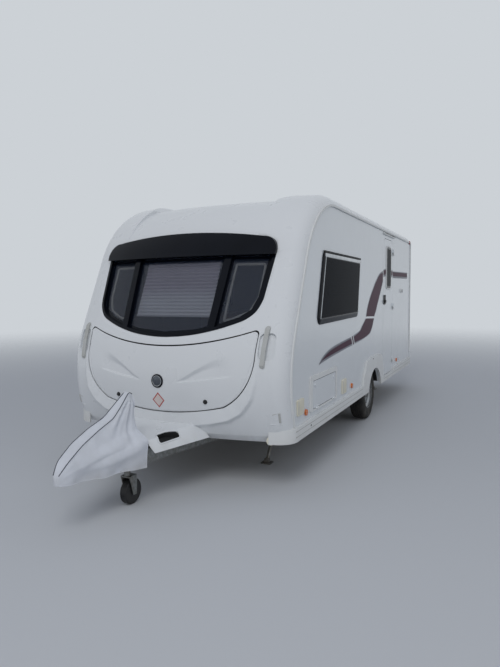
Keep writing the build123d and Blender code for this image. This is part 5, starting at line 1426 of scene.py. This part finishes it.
# Drawbar fairing: the hand hole's corners as x and y from its front, and its slope's end behind the nose
FAIRING_HOLE = [(0.164, 0.123), (0.199, 0.205), (0.277, 0.270), (0.302, 0.262), (0.234, 0.078)]
FAIRING_BACK = 0.105
# Outer x, its z, inner x and its z, each at the slope's front and at its end
FAIRING_ENDS = ((0.250, 0.440), (0.415, 0.440), (0.165, 0.343), (0.500, 0.564))


def make_fairing_trim():
    """A rolled rim round each hand hole of the drawbar fairing, and a black well behind it that stands in for
    the shade inside the hole: painted shade.
    """
    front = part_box("drawbar_fairing")[0].y

    def flank(p, drop=0.0):
        """A point of the slope, given as x and y from the front, lowered by a drop."""
        t = p.y / (NOSE + FAIRING_BACK - front)
        x0, z0, x1, z1 = (a + (b - a) * t for a, b in FAIRING_ENDS)
        return front + p.y, (z0 + (z1 - z0) * (x0 - p.x) / (x0 - x1) if p.x > x1 else z1) - drop

    rim = round_poly(FAIRING_HOLE, 0.012, -0.004, 5)
    well = round_poly(FAIRING_HOLE, 0.012, -0.002, 5)
    for side, tag, _ in SIDES:
        ring = [(side * p.x, *flank(p, -0.0005))
                for a, b in zip(rim, rim[1:] + rim[:1]) for p in (a, (a + b) / 2)]
        tube("fairing_rim_" + tag, ring + ring[:1], 0.0065, "moulding")
        # Painted shade: a black skirt and floor under each hole, put there for the shade inside it
        verts = [(side * (p.x - drop * 0.3), *flank(p, drop)) for p in well for drop in (0.006, 0.045)]
        n = len(well)
        faces = [(2 * k, 2 * ((k + 1) % n), 2 * ((k + 1) % n) + 1, 2 * k + 1) for k in range(n)]
        add("fairing_shade_well_" + tag, verts, faces + [tuple(range(1, 2 * n, 2))], "seal")


# Rear lamps and high markers: places, and a marker's profile as distance off the wall and radius
LAMP_X = 0.800
LAMP_Z = 0.700
MARKER_Z = 2.470
MARKER_FORE = 0.205
MARKER = [(-0.001, 0.030), (0.010, 0.030), (0.016, 0.026), (0.0185, 0.014), (0.019, 0.003)]


def make_rear_trim():
    """Divisions of the rear lamps, and the high marker lamps."""
    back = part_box("rear_lamps")[1].y
    for side, tag in ((-1, "far"), (1, "near")):
        for name, dx in (("amber", 0.085), ("clear", -0.085)):
            pad(f"rear_lens_{name}_{tag}", "back", (side * (LAMP_X + dx), LAMP_Z), (0.032, 0.050), 0.024,
                back - 0.001, 0.0035, name, bevel=0.0012)
        turned("high_marker_" + tag, (side * (SIDE_X + 0.0005), REAR_WALL - MARKER_FORE, MARKER_Z),
               (side, 0, 0), MARKER, "red")


for make in (make_camera, make_light, make_floor, dress_nodes, make_front, make_lid_furniture,
             make_stripes, make_wheels, make_cover, make_windows, make_front_glazing, make_blinds,
             make_cushions, make_side_trim, make_fairing_trim, make_rear_trim):
    make()

bpy.context.scene.view_settings.view_transform = "Standard"
